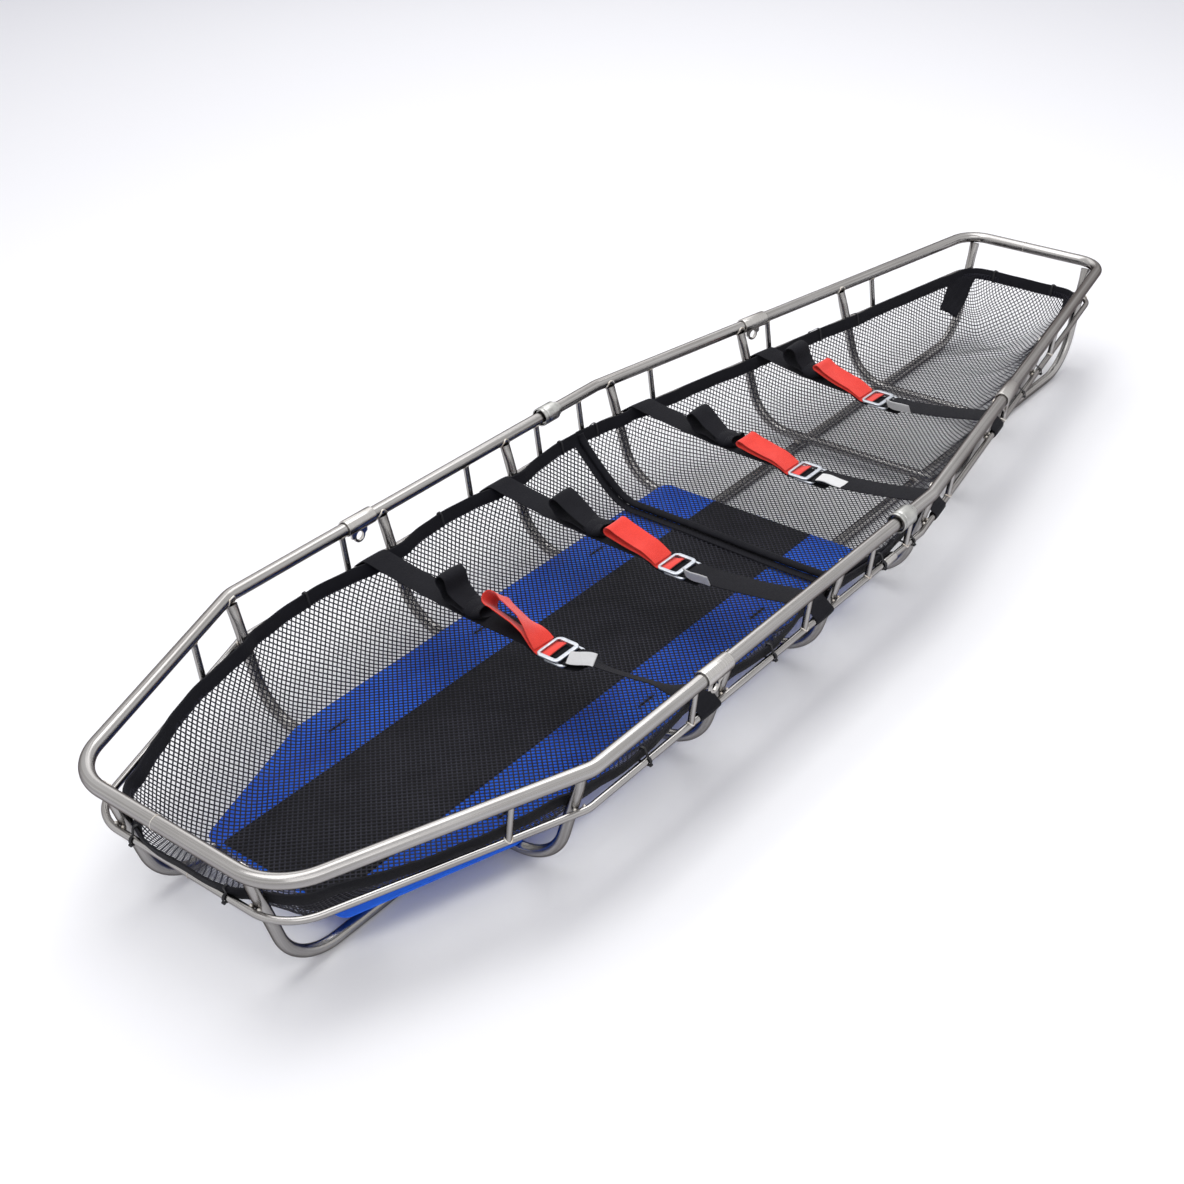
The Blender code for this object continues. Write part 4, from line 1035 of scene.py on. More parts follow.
def binding(half):
    """Folded band of webbing that bounds the net, slightly puckered along its length."""
    split = NET_SPLIT_X + WAY[half] * GAP / 2
    outline = dense([(x, y, 0) for x, y in half_outline(half, BINDING_INSET, split, split)], 0.008)
    lean = math.tan(RIB_LEAN)
    top = BINDING_TOP_Z - LOWER_Z
    section = binding_section(top)
    total = lengths(outline)
    rings = []
    for i, (point, here) in enumerate(zip(outline, total)):
        before = outline[max(i - 1, 0)]
        after = outline[min(i + 1, len(outline) - 1)]
        way = (after - before).normalized()
        inward = Vector((-way.y, way.x, 0))
        on_side = abs(point.x) < END_X - BINDING_INSET - 0.004
        point = point - inward * float(side_pull(point.x) if on_side else end_pull(half, point.y))
        pucker = 0.0005 * math.sin(here * 95) + 0.0006 * math.sin(here * 41 + 1)
        ring = []
        for n, h in section:
            from_middle = abs(h - top + BINDING_HEIGHT / 2) / (BINDING_HEIGHT / 2)
            out = n - h * lean + pucker * (0.4 + 0.6 * from_middle)
            ring.append(point + inward * out + Vector((0, 0, LOWER_Z + h)))
        rings.append(ring)
    across = spaced(0, BINDING_HEIGHT, BINDING_STEPS)
    across += [BINDING_HEIGHT + v for v in across] + [0.0]
    shape = Shape()
    shape.loft(rings, total, across)
    made = shape.make("net_binding_" + half, BLACK_WEB, BODIES[half], angle=50)


def cross_hem(half, shift, size, lift, wide):
    """Rolled hem across the basket, down one wall, over the floor and up the other."""
    x = NET_SPLIT_X + shift
    girth = side_y(half, BINDING_INSET, x) + PROFILE_SLACK
    path = []
    for s in np.linspace(-girth + 0.002, girth - 0.002, 260):
        split = x + HEM_BOW * math.sin(s * 9) * math.cos(math.pi / 2 * s / girth)
        y, z = net_places(half, split, np.array([0.0]), np.array([s]))[1:3]
        path.append(Vector((split, float(y[0]), float(z[0]) + lift)))
    ovals = [(wide + 0.07 * math.sin(k * 0.7) + 0.04 * math.sin(k * 1.9), 1.0)
             for k in range(len(path))]
    shape = Shape()
    tube(shape, path, size, up=(1, 0, 0), sides=24, ovals=ovals)
    return shape.make("net_hem_" + half, BLACK_WEB, BODIES[half], angle=60)


def net_height(half, x, y):
    """Height of the net's surface over a place on the ground."""
    runs = (side_y(half, BINDING_INSET, x) - abs(y), END_X - BINDING_INSET - abs(x))
    z = float(met(*[float(np.interp(run, RUN, RISE)) - NET_Z for run in runs]))
    return z + float(net_waves(x, y, z))


def between(first, second, share):
    return [a + (b - a) * share for a, b in zip(first, second)]


def corner_patch(half, side):
    """Doubled cloth in a corner of the net, from under the binding down the walls."""
    count = 24
    grid = []
    places = []
    for row in range(count + 1):
        down = row / count
        for column in range(count + 1):
            along = column / count * 2
            k = min(int(along), 1)
            high = between(PATCH_TOP[k], PATCH_TOP[k + 1], along - k)
            low = between(PATCH_BOTTOM[k], PATCH_BOTTOM[k + 1], along - k)
            from_end, from_side = between(high, low, down)
            x = WAY[half] * (END_X - BINDING_INSET - from_end)
            y = side * (side_y(half, BINDING_INSET, x) - from_side)
            ripple = 0.0006 * math.sin(column * 0.9 + row * 0.35)
            grid.append((x, y, net_height(half, x, y) + PATCH_LIFT + ripple))
            places.append((down * 0.09, along * 0.025))
    faces = []
    for row in range(count):
        for column in range(count):
            a = row * (count + 1) + column
            face = (a, a + 1, a + count + 2, a + count + 1)
            faces.append(face if side == WAY[half] else face[::-1])
    mesh = bpy.data.meshes.new("patch")
    mesh.from_pydata(grid, [], faces)
    add_run(mesh, [[places[v] for v in face] for face in faces])
    name = "net_patch_%s_%s" % (SIDE_NAMES[side], half)
    made = finish_mesh(mesh, name, BLACK_WEB, BODIES[half], 60)
    thicken(made, PATCH_THICKNESS)
    return made


def net_bed():
    """Nets, bindings, hems and patches of the net bed."""
    nets = {}
    for half in WAY:
        nets[half] = net(half)
        binding(half)
    hems = {"foot": cross_hem("foot", 0.0045, 0.0048, 0.0070, 1.5),
            "head": cross_hem("head", -0.0065, 0.0014, 0.0014, 5.6)}
    for half, parts in nets.items():
        patches = [corner_patch(half, side) for side in PATCH_SIDES[half]]


# Where the cable ties are, read from the photograph: stations along the sides and across the ends
TIES_SIDE = {"head": (-0.578, -0.302, -0.0175), "foot": (0.065, 0.602, 0.700)}
TIES_END = {"head": (0.085, -0.074), "foot": (0.060, -0.060)}
TIE_HALF_WIDTH = 0.0018
TIE_HALF_THICKNESS = 0.0005
TIE_HEAD_R = 0.0020


def tie(shape, rail, out, gap):
    """Cable tie over the binding and round the lower rail, with its lock below the rail."""
    way = Vector((out.y, -out.x, 0))
    top = BINDING_TOP_Z - LOWER_Z + 0.0014
    lean = (BINDING_TOP_Z - LOWER_Z) * math.tan(RIB_LEAN)
    outline = [(-gap - 0.0036, -0.0050), (-gap + lean - 0.0034, top), (-gap + lean + 0.0032, top),
               (0.0008, 0.0064), (0.0050, 0.0046), (0.0066, 0.0), (0.0048, -0.0048),
               (0.0, -0.0066)]
    path = rounded(outline, [0.003] * len(outline), math.radians(20), closed=True)
    a, b = TIE_HALF_WIDTH, TIE_HALF_THICKNESS
    section = ((-a, -b), (a, -b), (a, b), (-a, b))
    rings = []
    for k, (o, h) in enumerate(path):
        before, after = path[k - 1], path[(k + 1) % len(path)]
        step = unit((after[0] - before[0], after[1] - before[1]))
        normal = out * step[1] - Vector((0, 0, 1)) * step[0]
        centre = rail + out * o + Vector((0, 0, h))
        rings.append([centre + way * w + normal * n for w, n in section])
    along = lengths([(o, h, 0) for o, h in path], closed=True)
    shape.loft(rings, along, lengths([(w, n, 0) for w, n in section], closed=True), closed=True)
    head = rail + out * 0.0060 + Vector((0, 0, -0.0042))
    ends = [head + way * shift for shift in (-0.0024, -0.0019, 0.0019, 0.0024)]
    tube(shape, ends, TIE_HEAD_R, sides=12, ovals=[(0.7, 0.7), (1, 1), (1, 1), (0.7, 0.7)])


def ties():
    reach = BINDING_INSET - LOWER_RAIL_INSET
    for half, end in WAY.items():
        shape = Shape()
        for x in TIES_SIDE[half]:
            for side in (1, -1):
                out = Vector((-side_slope(half, x), 1, 0)).normalized()
                out.y *= side
                rail = Vector((x, side * side_y(half, LOWER_RAIL_INSET, x), LOWER_Z))
                tie(shape, rail, out, reach - float(side_pull(x)))
        for y in TIES_END[half]:
            rail = Vector((end * (END_X - LOWER_RAIL_INSET), y, LOWER_Z))
            tie(shape, rail, Vector((end, 0, 0)), reach - float(end_pull(half, y)))
        shape.make("cable_ties_" + half, TIE, BODIES[half], angle=35)


# Floor panel

PANEL_CORNER_R = (0.020, 0.020, 0.012, 0.016, 0.016, 0.012)
SLIT_START = 0.012
SLIT_END = 0.050
SLIT_HALF_WIDTH = 0.0018
SLIT_TAPER = 0.004
STITCHES = 9
STITCH_PITCH = 0.0052
STITCH_R = 0.0004


def panel_outline():
    head_x = -END_X + PANEL_HEAD_CLEARANCE
    right_y = PANEL_LEFT_Y - PANEL_WIDTH
    corners = [(PANEL_FOOT_X, right_y), (PANEL_FOOT_X, PANEL_LEFT_Y),
               (PANEL_SHOULDER_X, PANEL_LEFT_Y), (head_x, PANEL_LEFT_Y - PANEL_HEAD_INSET),
               (head_x, right_y + PANEL_HEAD_INSET), (PANEL_SHOULDER_X, right_y)]
    return rounded(corners, PANEL_CORNER_R, math.radians(8), closed=True)


def strip_outline():
    half = STRIP_WIDTH / 2
    foot_x = PANEL_FOOT_X - STRIP_MARGIN
    head_x = -END_X + PANEL_HEAD_CLEARANCE + STRIP_HEAD_MARGIN
    corners = [(foot_x, -half), (foot_x, half), (head_x, half), (head_x, -half)]
    return rounded(corners, [0.004] * 4, math.radians(15), closed=True)


def panel_wave(x, y):
    fold = math.sin(y * 47 + 1.4 * math.sin(x * 13)) * math.sin(x * 21 + y * 9)
    return -0.0007 + 0.0006 * fold


def strip_wave(x, y):
    return 0.0002 * math.sin(x * 41 + y * 13)


def cloth_plate(name, outline, low, high, look, cell, wave):
    """Flat cloth with a soft edge: the outline filled with a fine grid and its top waved."""
    bm = bmesh.new()
    bm.faces.new([bm.verts.new((x, y, 0)) for x, y in outline])
    for axis in (0, 1):
        way = Vector((1 - axis, axis, 0))
        place = min(p[axis] for p in outline) + cell
        end = max(p[axis] for p in outline) - cell / 3
        while place < end:
            geometry = bm.verts[:] + bm.edges[:] + bm.faces[:]
            bmesh.ops.bisect_plane(bm, geom=geometry, plane_co=way * place, plane_no=way)
            place += cell
    raised = bmesh.ops.extrude_face_region(bm, geom=bm.faces[:])["geom"]
    for v in bm.verts:
        v.co.z = low
    for v in raised:
        if isinstance(v, bmesh.types.BMVert):
            v.co.z = high + wave(v.co.x, v.co.y)
    bmesh.ops.recalc_face_normals(bm, faces=bm.faces)
    mesh = bpy.data.meshes.new(name)
    bm.to_mesh(mesh)
    bm.free()
    return finish_mesh(mesh, name, look, "head_half", 60)


def flat_area(outline):
    """Area inside a closed outline."""
    pairs = zip(outline, outline[1:] + outline[:1])
    return abs(sum(a[0] * b[1] - b[0] * a[1] for a, b in pairs)) / 2


def floor_panel():
    outline = panel_outline()
    panel = cloth_plate("floor_panel", outline, PANEL_Z, PANEL_Z + PANEL_THICKNESS, BLUE_CLOTH,
                        0.010, panel_wave)
    area = flat_area(outline)
    slits()
    outline = strip_outline()
    strip = cloth_plate("panel_centre_strip", outline, STRIP_Z - 0.0009, STRIP_Z + 0.0005,
                        STRIP_CLOTH, 0.02, strip_wave)
    flat_area(outline) / STRIP_WIDTH


def slits():
    """Hand slits in the panel beside each rib, edged with thick stitching. Each slit is not cut but
    drawn as a thin black piece on the panel's top, painted shade for its opening.
    """
    shape = Shape()
    thread = Shape()
    z = PANEL_Z + PANEL_THICKNESS - 0.0001
    for x in RIBS_HEAD:
        start, end = x + SLIT_START, x + SLIT_END
        for y in (SLIT_Y, -SLIT_Y):
            outline = [(start, y), (start + SLIT_TAPER, y + SLIT_HALF_WIDTH),
                       (end - SLIT_TAPER, y + SLIT_HALF_WIDTH), (end, y),
                       (end - SLIT_TAPER, y - SLIT_HALF_WIDTH),
                       (start + SLIT_TAPER, y - SLIT_HALF_WIDTH)]
            # Thin black lens over the slit's outline: painted shade in its opening.
            rings = [[Vector((px, py, z + h)) for px, py in outline] for h in (-0.0004, 0.0003)]
            shape.loft(rings, [0, 0.001], [0.01 * k for k in range(7)])
            for row in (-1, 1):
                for k in range(STITCHES):
                    a = start - 0.003 + k * STITCH_PITCH
                    path = [Vector((a, y + row * 0.0045, z)),
                            Vector((a + 0.0014, y + row * 0.0046, z + 0.0005)),
                            Vector((a + 0.0030, y + row * 0.0045, z))]
                    tube(thread, path, STITCH_R, sides=6)
    return [shape.make("panel_slits", BLACK_WEB, "head_half", angle=30),
            thread.make("panel_stitches", BLUE_THREAD, "head_half", angle=60)]


# Straps

TAB_WIDTH = WEB_WIDTH - 0.002
LAYER = WEB_THICKNESS + GAP
RING_DROP = FRAME_THICKNESS + GAP
TURN_R = FRAME_BAR * 0.58 + GAP + WEB_THICKNESS / 2
NEAR_TURN = math.radians(31)
TAB_TURN = math.radians(42)
LABEL_THICKNESS = 0.0007
BUCKLE_CORNER_R = 0.0060
BUCKLE_BEVEL = 0.0009

# Each table below is by strap number. Labels: start, length, height, lean from flat in degrees
LABELS = {1: (0.003, 0.043, 0.0180, 48), 2: (0.004, 0.042, 0.021, 116),
          3: (0.004, 0.046, 0.022, 4), 4: (0.004, 0.043, 0.020, 118)}

# Standing loops: shift of the crest, height, radius of the fold
LOOPS = {1: (0.000, 0.043, 0.010), 2: (0.006, 0.035, 0.009), 3: (0.004, 0.036, 0.009),
         4: (0.002, 0.038, 0.013)}

# Pull tabs: radius of the fold, rise of the tip, power of that rise, how far the leaves part
TABS = {1: (0.0095, 0.019, 1.2, 1.0), 2: (0.0060, 0.011, 1.6, 1.0),
        3: (0.0044, 0.009, 1.6, 0.9), 4: (0.0044, 0.016, 1.6, 0.9)}


class Strap:
    """Where one patient strap lies. The functions below make its pieces."""

    def __init__(self, number, x, bar_y, loop_y, knot_y):
        self.number = number
        self.x = x
        self.bar_y = bar_y
        self.loop_y = loop_y
        self.knot_y = knot_y
        self.body = BODIES[half_of(x)]
        self.band = "net_binding_" + half_of(x)
        self.ends = anchor(x)
        self.crest_y, self.crest_z = self.ends[0]
        self.bar_z = self.sag(bar_y) - TURN_R
        self.low = self.bar_z - TURN_R - LAYER
        self.reach = RING_NEAR_OFFSET - bar_y
        self.near_z = self.bar_z - RING_DROP + TURN_R
        dip = [(-0.038, -0.0006), (-0.026, -0.0004), (-0.012, 0.0), (0.0, 0.0), (0.010, 0.0024)]
        run = [(y, self.sag(y)) for y in spaced(bar_y + 0.026, self.crest_y, 18)]
        self.far_path = [(bar_y + y, self.low + z) for y, z in dip] + run[:-1] + self.ends

    def sag(self, y):
        share = y / self.crest_y
        return (self.crest_z - STRAP_SAG * (1 - share * share)
                - STRAP_NEAR_SAG * (share < 0) * -share)

    def rest(self, y):
        """Height at which another layer lies on the left webbing at y."""
        heights = [z0 + (z1 - z0) * (y - y0) / (y1 - y0)
                   for (y0, z0), (y1, z1) in zip(self.far_path, self.far_path[1:])
                   if y0 != y1 and min(y0, y1) <= y <= max(y0, y1)]
        return max(heights) + LAYER

    def near_turn(self, y):
        """Turn of the first strap's right webbing, which the camera sees almost edge-on."""
        if self.number > 1:
            return 0
        return NEAR_TURN * ease_between(-y, self.reach + 0.004, self.reach + 0.045)

    def named(self, name):
        return "%s_%d" % (name, self.number)

    def webbing(self, name, shape, look, wide, held, rests_on, angle=40):
        """Make the named piece of this strap on the strap's body."""
        made = shape.make(self.named(name), look, self.body, angle)
        return made


def arc(centre, radius, start, end, step=math.radians(10)):
    count = max(1, math.ceil(abs(end - start) / step))
    return [(centre[0] + radius * math.cos(angle), centre[1] + radius * math.sin(angle))
            for angle in spaced(start, end, count)]


def anchor(x):
    """End of a strap over the binding and round the lower rail, as (outward, z) points."""
    half = half_of(x)
    rail_y = side_y(half, LOWER_RAIL_INSET, x)
    slant = math.hypot(1, side_slope(half, x))
    band_y = side_y(half, BINDING_INSET, x) + (BINDING_TOP_Z - LOWER_Z) * math.tan(RIB_LEAN)
    clear = BINDING_THICKNESS / 2 * slant + WEB_THICKNESS
    crest_z = BINDING_TOP_Z + GAP * 4 + WEB_THICKNESS / 2
    radius = (WIRE_R + GAP) * slant + WEB_THICKNESS / 2
    wrap = arc((rail_y, LOWER_Z), radius, math.radians(65), math.radians(-205))
    return [(band_y - clear, crest_z), (band_y + clear, crest_z)] + wrap


def ribbon(shape, points, widths, wide, thickness=WEB_THICKNESS, cup=0.0):
    """Flat webbing through points. widths gives the direction across it at each point, and
    wide its width there."""
    count = len(points)
    across = 8
    rings = []
    for i in range(count):
        way = (points[min(i + 1, count - 1)] - points[max(i - 1, 0)]).normalized()
        side = (widths[i] - way * widths[i].dot(way)).normalized()
        normal = way.cross(side)
        upper = []
        lower = []
        for share in spaced(-1, 1, across):
            skin = normal * (thickness / 2 * (1 - 0.35 * abs(share) ** 10))
            base = points[i] + side * (share * wide[i] / 2) + normal * (cup * (share * share - 0.4))
            upper.append(base + skin)
            lower.append(base - skin)
        rings.append(upper + lower[::-1])
    width = max(wide)
    steps = spaced(0, width, across)
    places = steps + [width + thickness + v for v in steps] + [2 * width + 2 * thickness]
    total = lengths(points)
    shape.loft(rings, total, places)
    shape.cloth += total[-1] * sum(wide) / count


def smooth_ribbon(shape, points, widths, wide, step, cup):
    """Ribbon whose centre line and width direction are smoothed between the given points."""
    centre = curve_through(points, step)
    places = lengths(points)
    here = lengths(centre)
    scale = places[-1] / here[-1]
    at = [h * scale for h in here]
    columns = np.array([tuple(w) for w in widths])
    turned_widths = np.stack([np.interp(at, places, columns[:, c]) for c in range(3)], -1)
    ribbon(shape, centre, [Vector(w) for w in turned_widths], list(np.interp(at, places, wide)),
           cup=cup)


def strap_path(x, side, flat_path):
    """World points and width directions of webbing whose ends follow the rail's taper."""
    slope = side_slope(half_of(x), x)
    reach = max(abs(a) for a, b in flat_path)
    points = []
    widths = []
    for a, b in flat_path:
        share = min(1, max(0, (abs(a) / reach - 0.78) / 0.12))
        points.append(Vector((x, a * side, b)))
        widths.append(Vector((1, slope * share * side, 0)).normalized())
    return points, widths


def left_webbing(strap):
    """Webbing from the buckle frame's bar to the far rail."""
    shape = Shape()
    points, widths = strap_path(strap.x, 1, strap.far_path)
    smooth_ribbon(shape, points, widths, [WEB_WIDTH] * len(points), 0.0022, 0.0005)
    return strap.webbing("strap_left", shape, BLACK_WEB, WEB_WIDTH, "hung",
                         [strap.band, strap.named("buckle_frame")])


def right_webbing(strap):
    """Webbing from the ring's near bar to the near rail."""
    reach = strap.reach
    ring_z = strap.bar_z - RING_DROP
    tail = [(reach + 0.022, ring_z - TURN_R), (reach + 0.004, ring_z - TURN_R)]
    turn = arc((reach, ring_z), TURN_R, math.radians(-90), math.radians(-270))
    run = []
    for y in spaced(reach + 0.030, strap.crest_y, 18):
        share = (y - reach) / (strap.crest_y - reach)
        run.append((y, strap.near_z + (strap.crest_z - strap.near_z) * share ** 1.6))
    points, widths = strap_path(strap.x, -1, tail + turn + run[:-1] + strap.ends)
    for i, point in enumerate(points):
        fade = ease_between(-point.y, strap.crest_y - 0.004, strap.crest_y - 0.055)
        widths[i] = Matrix.Rotation(strap.near_turn(point.y) * fade, 3, "Y") @ widths[i]
    shape = Shape()
    smooth_ribbon(shape, points, widths, [WEB_WIDTH] * len(points), 0.0022, -0.0005)
    return strap.webbing("strap_right", shape, BLACK_WEB, WEB_WIDTH, "hung",
                         [strap.band, strap.named("buckle_ring")])


def standing_loop(strap, lies_on):
    """Spare webbing that rises from its knot, turns over in a loop and runs back down."""
    shift, height, fold = LOOPS[strap.number]
    knot_y, rest = strap.knot_y, strap.rest
    crest = strap.loop_y + shift
    top = rest(strap.loop_y) + height
    path = [(knot_y - 0.002, rest(knot_y) + 0.005), (knot_y + 0.012, rest(knot_y) + 0.009),
            ((knot_y + crest) / 2 + 0.006, (rest(knot_y) + top) / 2 + 0.003)]
    if strap.number in (1, 4):
        path[-1] = (crest - fold - 0.004, top - 0.022)
    path += arc((crest, top - fold), fold, math.radians(125), math.radians(-40), math.radians(18))
    path += [(crest + fold * 0.35, top - fold * 2.1), (crest - 0.004, rest(crest) + 0.0065),
             ((knot_y + crest) / 2, rest(crest) + 0.0022), (knot_y + 0.010, rest(knot_y) + 0.0012)]
    points = [Vector((strap.x + 0.0012 * math.sin(y * 60), y, z)) for y, z in path]
    widths = [Vector((1, 0.05 * math.sin(y * 40), 0.06 * math.cos(y * 33))) for y, z in path]
    wide = [WEB_WIDTH * 0.62, WEB_WIDTH * 0.86] + [WEB_WIDTH * 0.98] * (len(path) - 2)
    shape = Shape()
    smooth_ribbon(shape, points, widths, wide, 0.003, 0.0010)
    knot(shape, strap.x, knot_y, rest(knot_y))
    strap.webbing("strap_loop", shape, BLACK_WEB, WEB_WIDTH, "folded", [lies_on])


def knot(shape, x, knot_y, base):
    """Webbing wound slantwise round the strap and drawn tight."""
    for first, turns, slant, high, way in ((-1.9, 0.80, 0.016, 0.0078, 1),
                                           (0.6, 0.72, -0.012, 0.0066, -1)):
        points = []
        widths = []
        wides = []
        for share in spaced(0, 1, 36):
            turn = first + 2 * math.pi * turns * share
            y = knot_y + slant * (share * 2 - 1) * 0.8 + 0.003 * math.cos(turn)
            z = base + 0.0042 + high * math.sin(turn)
            points.append(Vector((x + 0.0200 * math.cos(turn), y, z)))
            widths.append(Vector((-0.55 * math.sin(turn) * way, 1.0, 0.25 * math.cos(turn))))
            wides.append(0.019 + 0.009 * math.sin(math.pi * share))
        ribbon(shape, points, widths, wides, cup=0.0018)


def parting(share):
    """How far the two leaves of a tab stand apart, from its root to its fold."""
    return 0.35 + 0.65 * share ** 0.8


def pull_tab(strap, lies_on):
    """Folded leaf of webbing: from inside the buckle under its bar, up to a fold and back."""
    fold, rise, power, opening = TABS[strap.number]
    bar_y, bar_z = strap.bar_y, strap.bar_z
    low = strap.low + LAYER
    start = bar_y + 0.016
    tip = bar_y + TAB_LENGTH
    run = tip - fold - start

    def leaf(share):
        return strap.rest(start + (tip - start) * share) + 0.0008 + rise * share ** power
    path = [(bar_y - 0.0165, bar_z - 0.0006), (bar_y - 0.0105, bar_z - 0.0012),
            (bar_y - 0.0045, low + 0.0008), (bar_y + 0.002, low + 0.0002)]
    path += [(start + run * share, leaf(share)) for share in (0.0, 0.25, 0.5, 0.75, 0.93)]
    path += arc((tip - fold, leaf(1) + fold), fold, math.radians(-70), math.radians(95),
                math.radians(22))
    path += [(start + run * share, leaf(share) + 2 * fold * parting(share) * opening)
             for share in (0.8, 0.6, 0.4, 0.2, 0.02)]
    path.append((bar_y + 0.0068, bar_z + 0.0005))
    points = [Vector((strap.x + 0.0008 * math.sin(y * 50), y, z)) for y, z in path]
    widths = [Vector((1, 0, 0.04 * math.sin(y * 45))) for y, z in path]
    if strap.number == 1:
        for i, point in enumerate(points):
            turn = TAB_TURN * ease_between(point.y, bar_y + 0.002, bar_y + 0.048)
            share = min(1, max(0, (point.y - start) / run))
            middle = leaf(share) + fold * parting(share)
            up = point.z - middle
            points[i] = Vector((point.x + up * math.sin(turn), point.y, middle + up * math.cos(turn)))
            widths[i] = Vector((math.cos(turn), 0, -math.sin(turn)))
    shape = Shape()
    smooth_ribbon(shape, points, widths, [TAB_WIDTH] * len(points), 0.002, 0.0007)
    strap.webbing("pull_tab", shape, RED_WEB, TAB_WIDTH, "folded", [lies_on])


def buckle_loop(bar, far, near, lift, bar_width, thickness, far_width):
    """Rectangular loop of flat bar with rounded corners, its far bar of its own width."""
    half = (FRAME_WIDTH - bar_width) / 2
    corners = [(half, near), (half, far), (-half, far), (-half, near)]
    outline = rounded(corners, [BUCKLE_CORNER_R] * 4, math.radians(12), closed=True)
    a = bar_width / 2
    b = thickness / 2
    section = eased([(-a, -b), (a, -b), (a, b), (-a, b)], BUCKLE_BEVEL)
    rings = []
    for i, here in enumerate(outline):
        before, after = outline[i - 1], outline[(i + 1) % len(outline)]
        way = Vector((after[0] - before[0], after[1] - before[1], 0)).normalized()
        out = Vector((way.y, -way.x, 0))
        slim = ease_between(here[1], far - BUCKLE_CORNER_R, far - 0.0015)
        scale = 1 + (far_width / bar_width - 1) * slim
        rings.append([Vector(bar) + Vector((here[0], here[1], lift + h)) + out * n * scale
                      for n, h in section])
    along = lengths([(px, py, 0) for px, py in outline], closed=True)
    across = lengths([(n, h, 0) for n, h in section], closed=True)
    shape = Shape()
    shape.loft(rings, along, across, closed=True)
    return shape


def buckle(strap):
    """Frame that lifts on the far bar, and the ring below it."""
    bar = (strap.x, strap.bar_y, strap.bar_z)
    shape = buckle_loop(bar, 0, -FRAME_BAR_SPAN, 0, 0.0070, 0.0030, 0.0042)
    shape.make(strap.named("buckle_frame"), ZINC, strap.named("buckle"))
    shape = buckle_loop(bar, -RING_FAR_OFFSET, -RING_NEAR_OFFSET, -RING_DROP, FRAME_BAR,
                        FRAME_THICKNESS, FRAME_BAR)
    shape.make(strap.named("buckle_ring"), ZINC, strap.body)


def care_label(strap, sewn_to):
    """Blank folded label sewn to one edge of the near webbing beside the buckle."""
    start, length, height, degrees = LABELS[strap.number]
    lean = math.radians(degrees)
    away = Vector((math.cos(lean), 0, math.sin(lean)))
    normal = Vector((-math.sin(lean), 0, math.cos(lean)))
    edge = WEB_WIDTH / 2 - 0.001
    shape = Shape()
    for leaf in (0, 1):
        points = []
        for share in spaced(0, 1, 12):
            y = -(strap.reach + start + length * share)
            bend = 0.0022 * math.sin(math.pi * share) + 0.0008 * math.sin(7 * share)
            turn = strap.near_turn(y)
            base = Vector((strap.x - edge * math.cos(turn), y, strap.near_z
                           + edge * math.sin(turn) + WEB_THICKNESS * 0.5 + 0.0008))
            points.append(base + away * (height / 2) + normal * (bend + leaf * 0.0009))
        ribbon(shape, points, [away] * 13, [height] * 13, LABEL_THICKNESS)
    strap.webbing("care_label", shape, LABEL_CLOTH, height, "folded", [sewn_to], angle=50)


def straps():
    for number, values in enumerate(zip(STRAPS, BUCKLE_BAR_Y, LOOP_Y, KNOT_Y), 1):
        strap = Strap(number, *values)
        left = left_webbing(strap)
        right = right_webbing(strap)
        standing_loop(strap, left)
        pull_tab(strap, left)
        buckle(strap)
        care_label(strap, right)


# Camera, floor and light

CAMERA_PLACE = (-1.8888, -1.2788, 1.412)
CAMERA_AZIMUTH = math.radians(-51.055)
CAMERA_ELEVATION = math.radians(32.459)
CAMERA_ROLL = math.radians(-1.348)
CAMERA_LENS = 52.05


def camera():
    a, e = CAMERA_AZIMUTH, CAMERA_ELEVATION
    back = Vector((math.sin(a) * math.cos(e), -math.cos(a) * math.cos(e), math.sin(e)))
    right = Vector((math.cos(a), math.sin(a), 0))
    up = back.cross(right)
    c, s = math.cos(CAMERA_ROLL), math.sin(CAMERA_ROLL)
    right, up = right * c + up * s, up * c - right * s
    data = bpy.data.cameras.new("camera")
    data.sensor_width = 36
    data.lens = CAMERA_LENS
    made = bpy.data.objects.new("camera", data)
    bpy.context.scene.collection.objects.link(made)
    turn = Matrix((right, up, back)).transposed().to_4x4()
    made.matrix_world = Matrix.Translation(CAMERA_PLACE) @ turn
    bpy.context.scene.camera = made


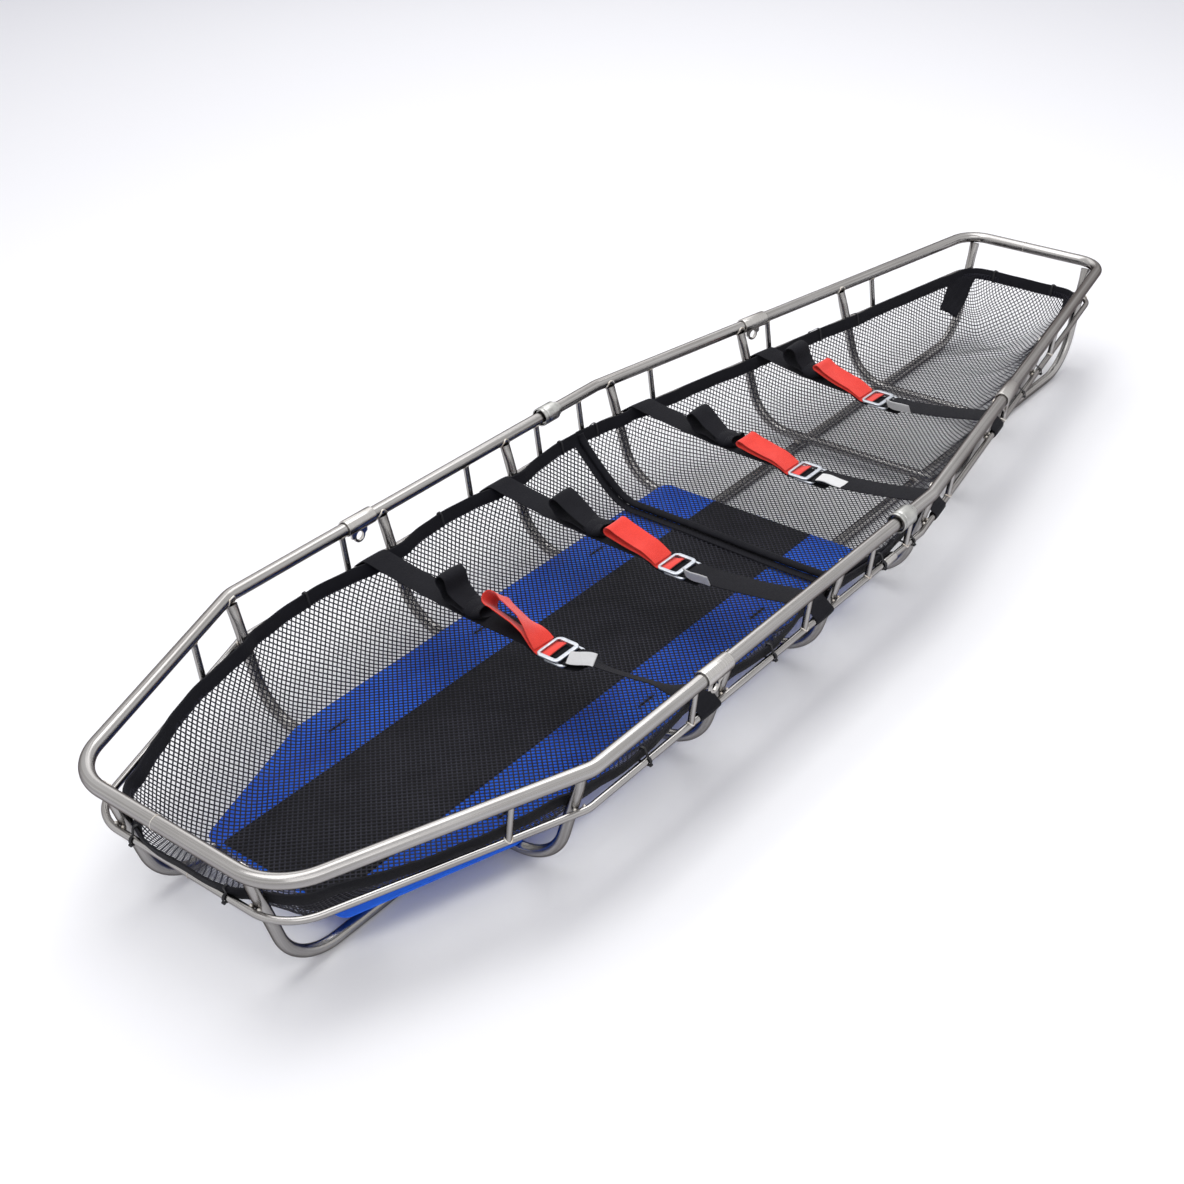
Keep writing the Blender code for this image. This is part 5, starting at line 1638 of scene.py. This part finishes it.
def floor():
    """Pale floor that reads as the background and keeps the object's soft shadow."""
    mesh = bpy.data.meshes.new("floor")
    size = 12
    corners = [(-size, -size, 0), (size, -size, 0), (size, size, 0), (-size, size, 0)]
    mesh.from_pydata(corners, [], [(0, 1, 2, 3)])
    look = Look("floor", (0.93, 0.93, 0.92), 0.0, 0.9, Specular_IOR_Level=0.1)
    mesh.materials.append(look.material)
    made = bpy.data.objects.new("floor", mesh)
    bpy.context.scene.collection.objects.link(made)
    made.location.z = -0.0006


def area_light(name, place, target, size, power):
    data = bpy.data.lights.new(name, "AREA")
    data.shape = "RECTANGLE"
    data.size, data.size_y = size
    data.energy = power
    made = bpy.data.objects.new(name, data)
    bpy.context.scene.collection.objects.link(made)
    made.location = place
    made.rotation_euler = (Vector(target) - Vector(place)).to_track_quat("-Z", "Y").to_euler()


def world():
    """Soft grey light on the object, and white for the camera and in what metal reflects."""
    made = bpy.data.worlds.new("studio")
    bpy.context.scene.world = made
    made.use_nodes = True
    nodes, links = made.node_tree.nodes, made.node_tree.links
    rays = nodes.new("ShaderNodeLightPath")
    seen = rays.outputs["Is Camera Ray"]
    for name in ("Is Transmission Ray", "Is Glossy Ray"):
        either = nodes.new("ShaderNodeMath")
        either.operation = "MAXIMUM"
        links.new(seen, either.inputs[0])
        links.new(rays.outputs[name], either.inputs[1])
        seen = either.outputs[0]
    mix = nodes.new("ShaderNodeMix")
    mix.data_type = "RGBA"
    links.new(seen, mix.inputs[0])
    mix.inputs[6].default_value = (0.58, 0.58, 0.64, 1)
    mix.inputs[7].default_value = (1, 1, 1, 1)
    links.new(mix.outputs[2], nodes["Background"].inputs[0])


def studio():
    floor()
    world()
    area_light("overhead", (0.0, 0.5, 3.0), (0, 0.1, 0), (4.4, 1.8), 66)
    area_light("key", (-2.2, -2.8, 3.0), (-0.2, 0, 0), (3.4, 2.4), 34)
    area_light("rim", (2.6, 2.8, 2.6), (0, 0, 0), (3.2, 2.2), 24)
    bpy.context.scene.view_settings.view_transform = "Standard"


camera()
frame_halves()
net_bed()
ties()
floor_panel()
straps()
studio()
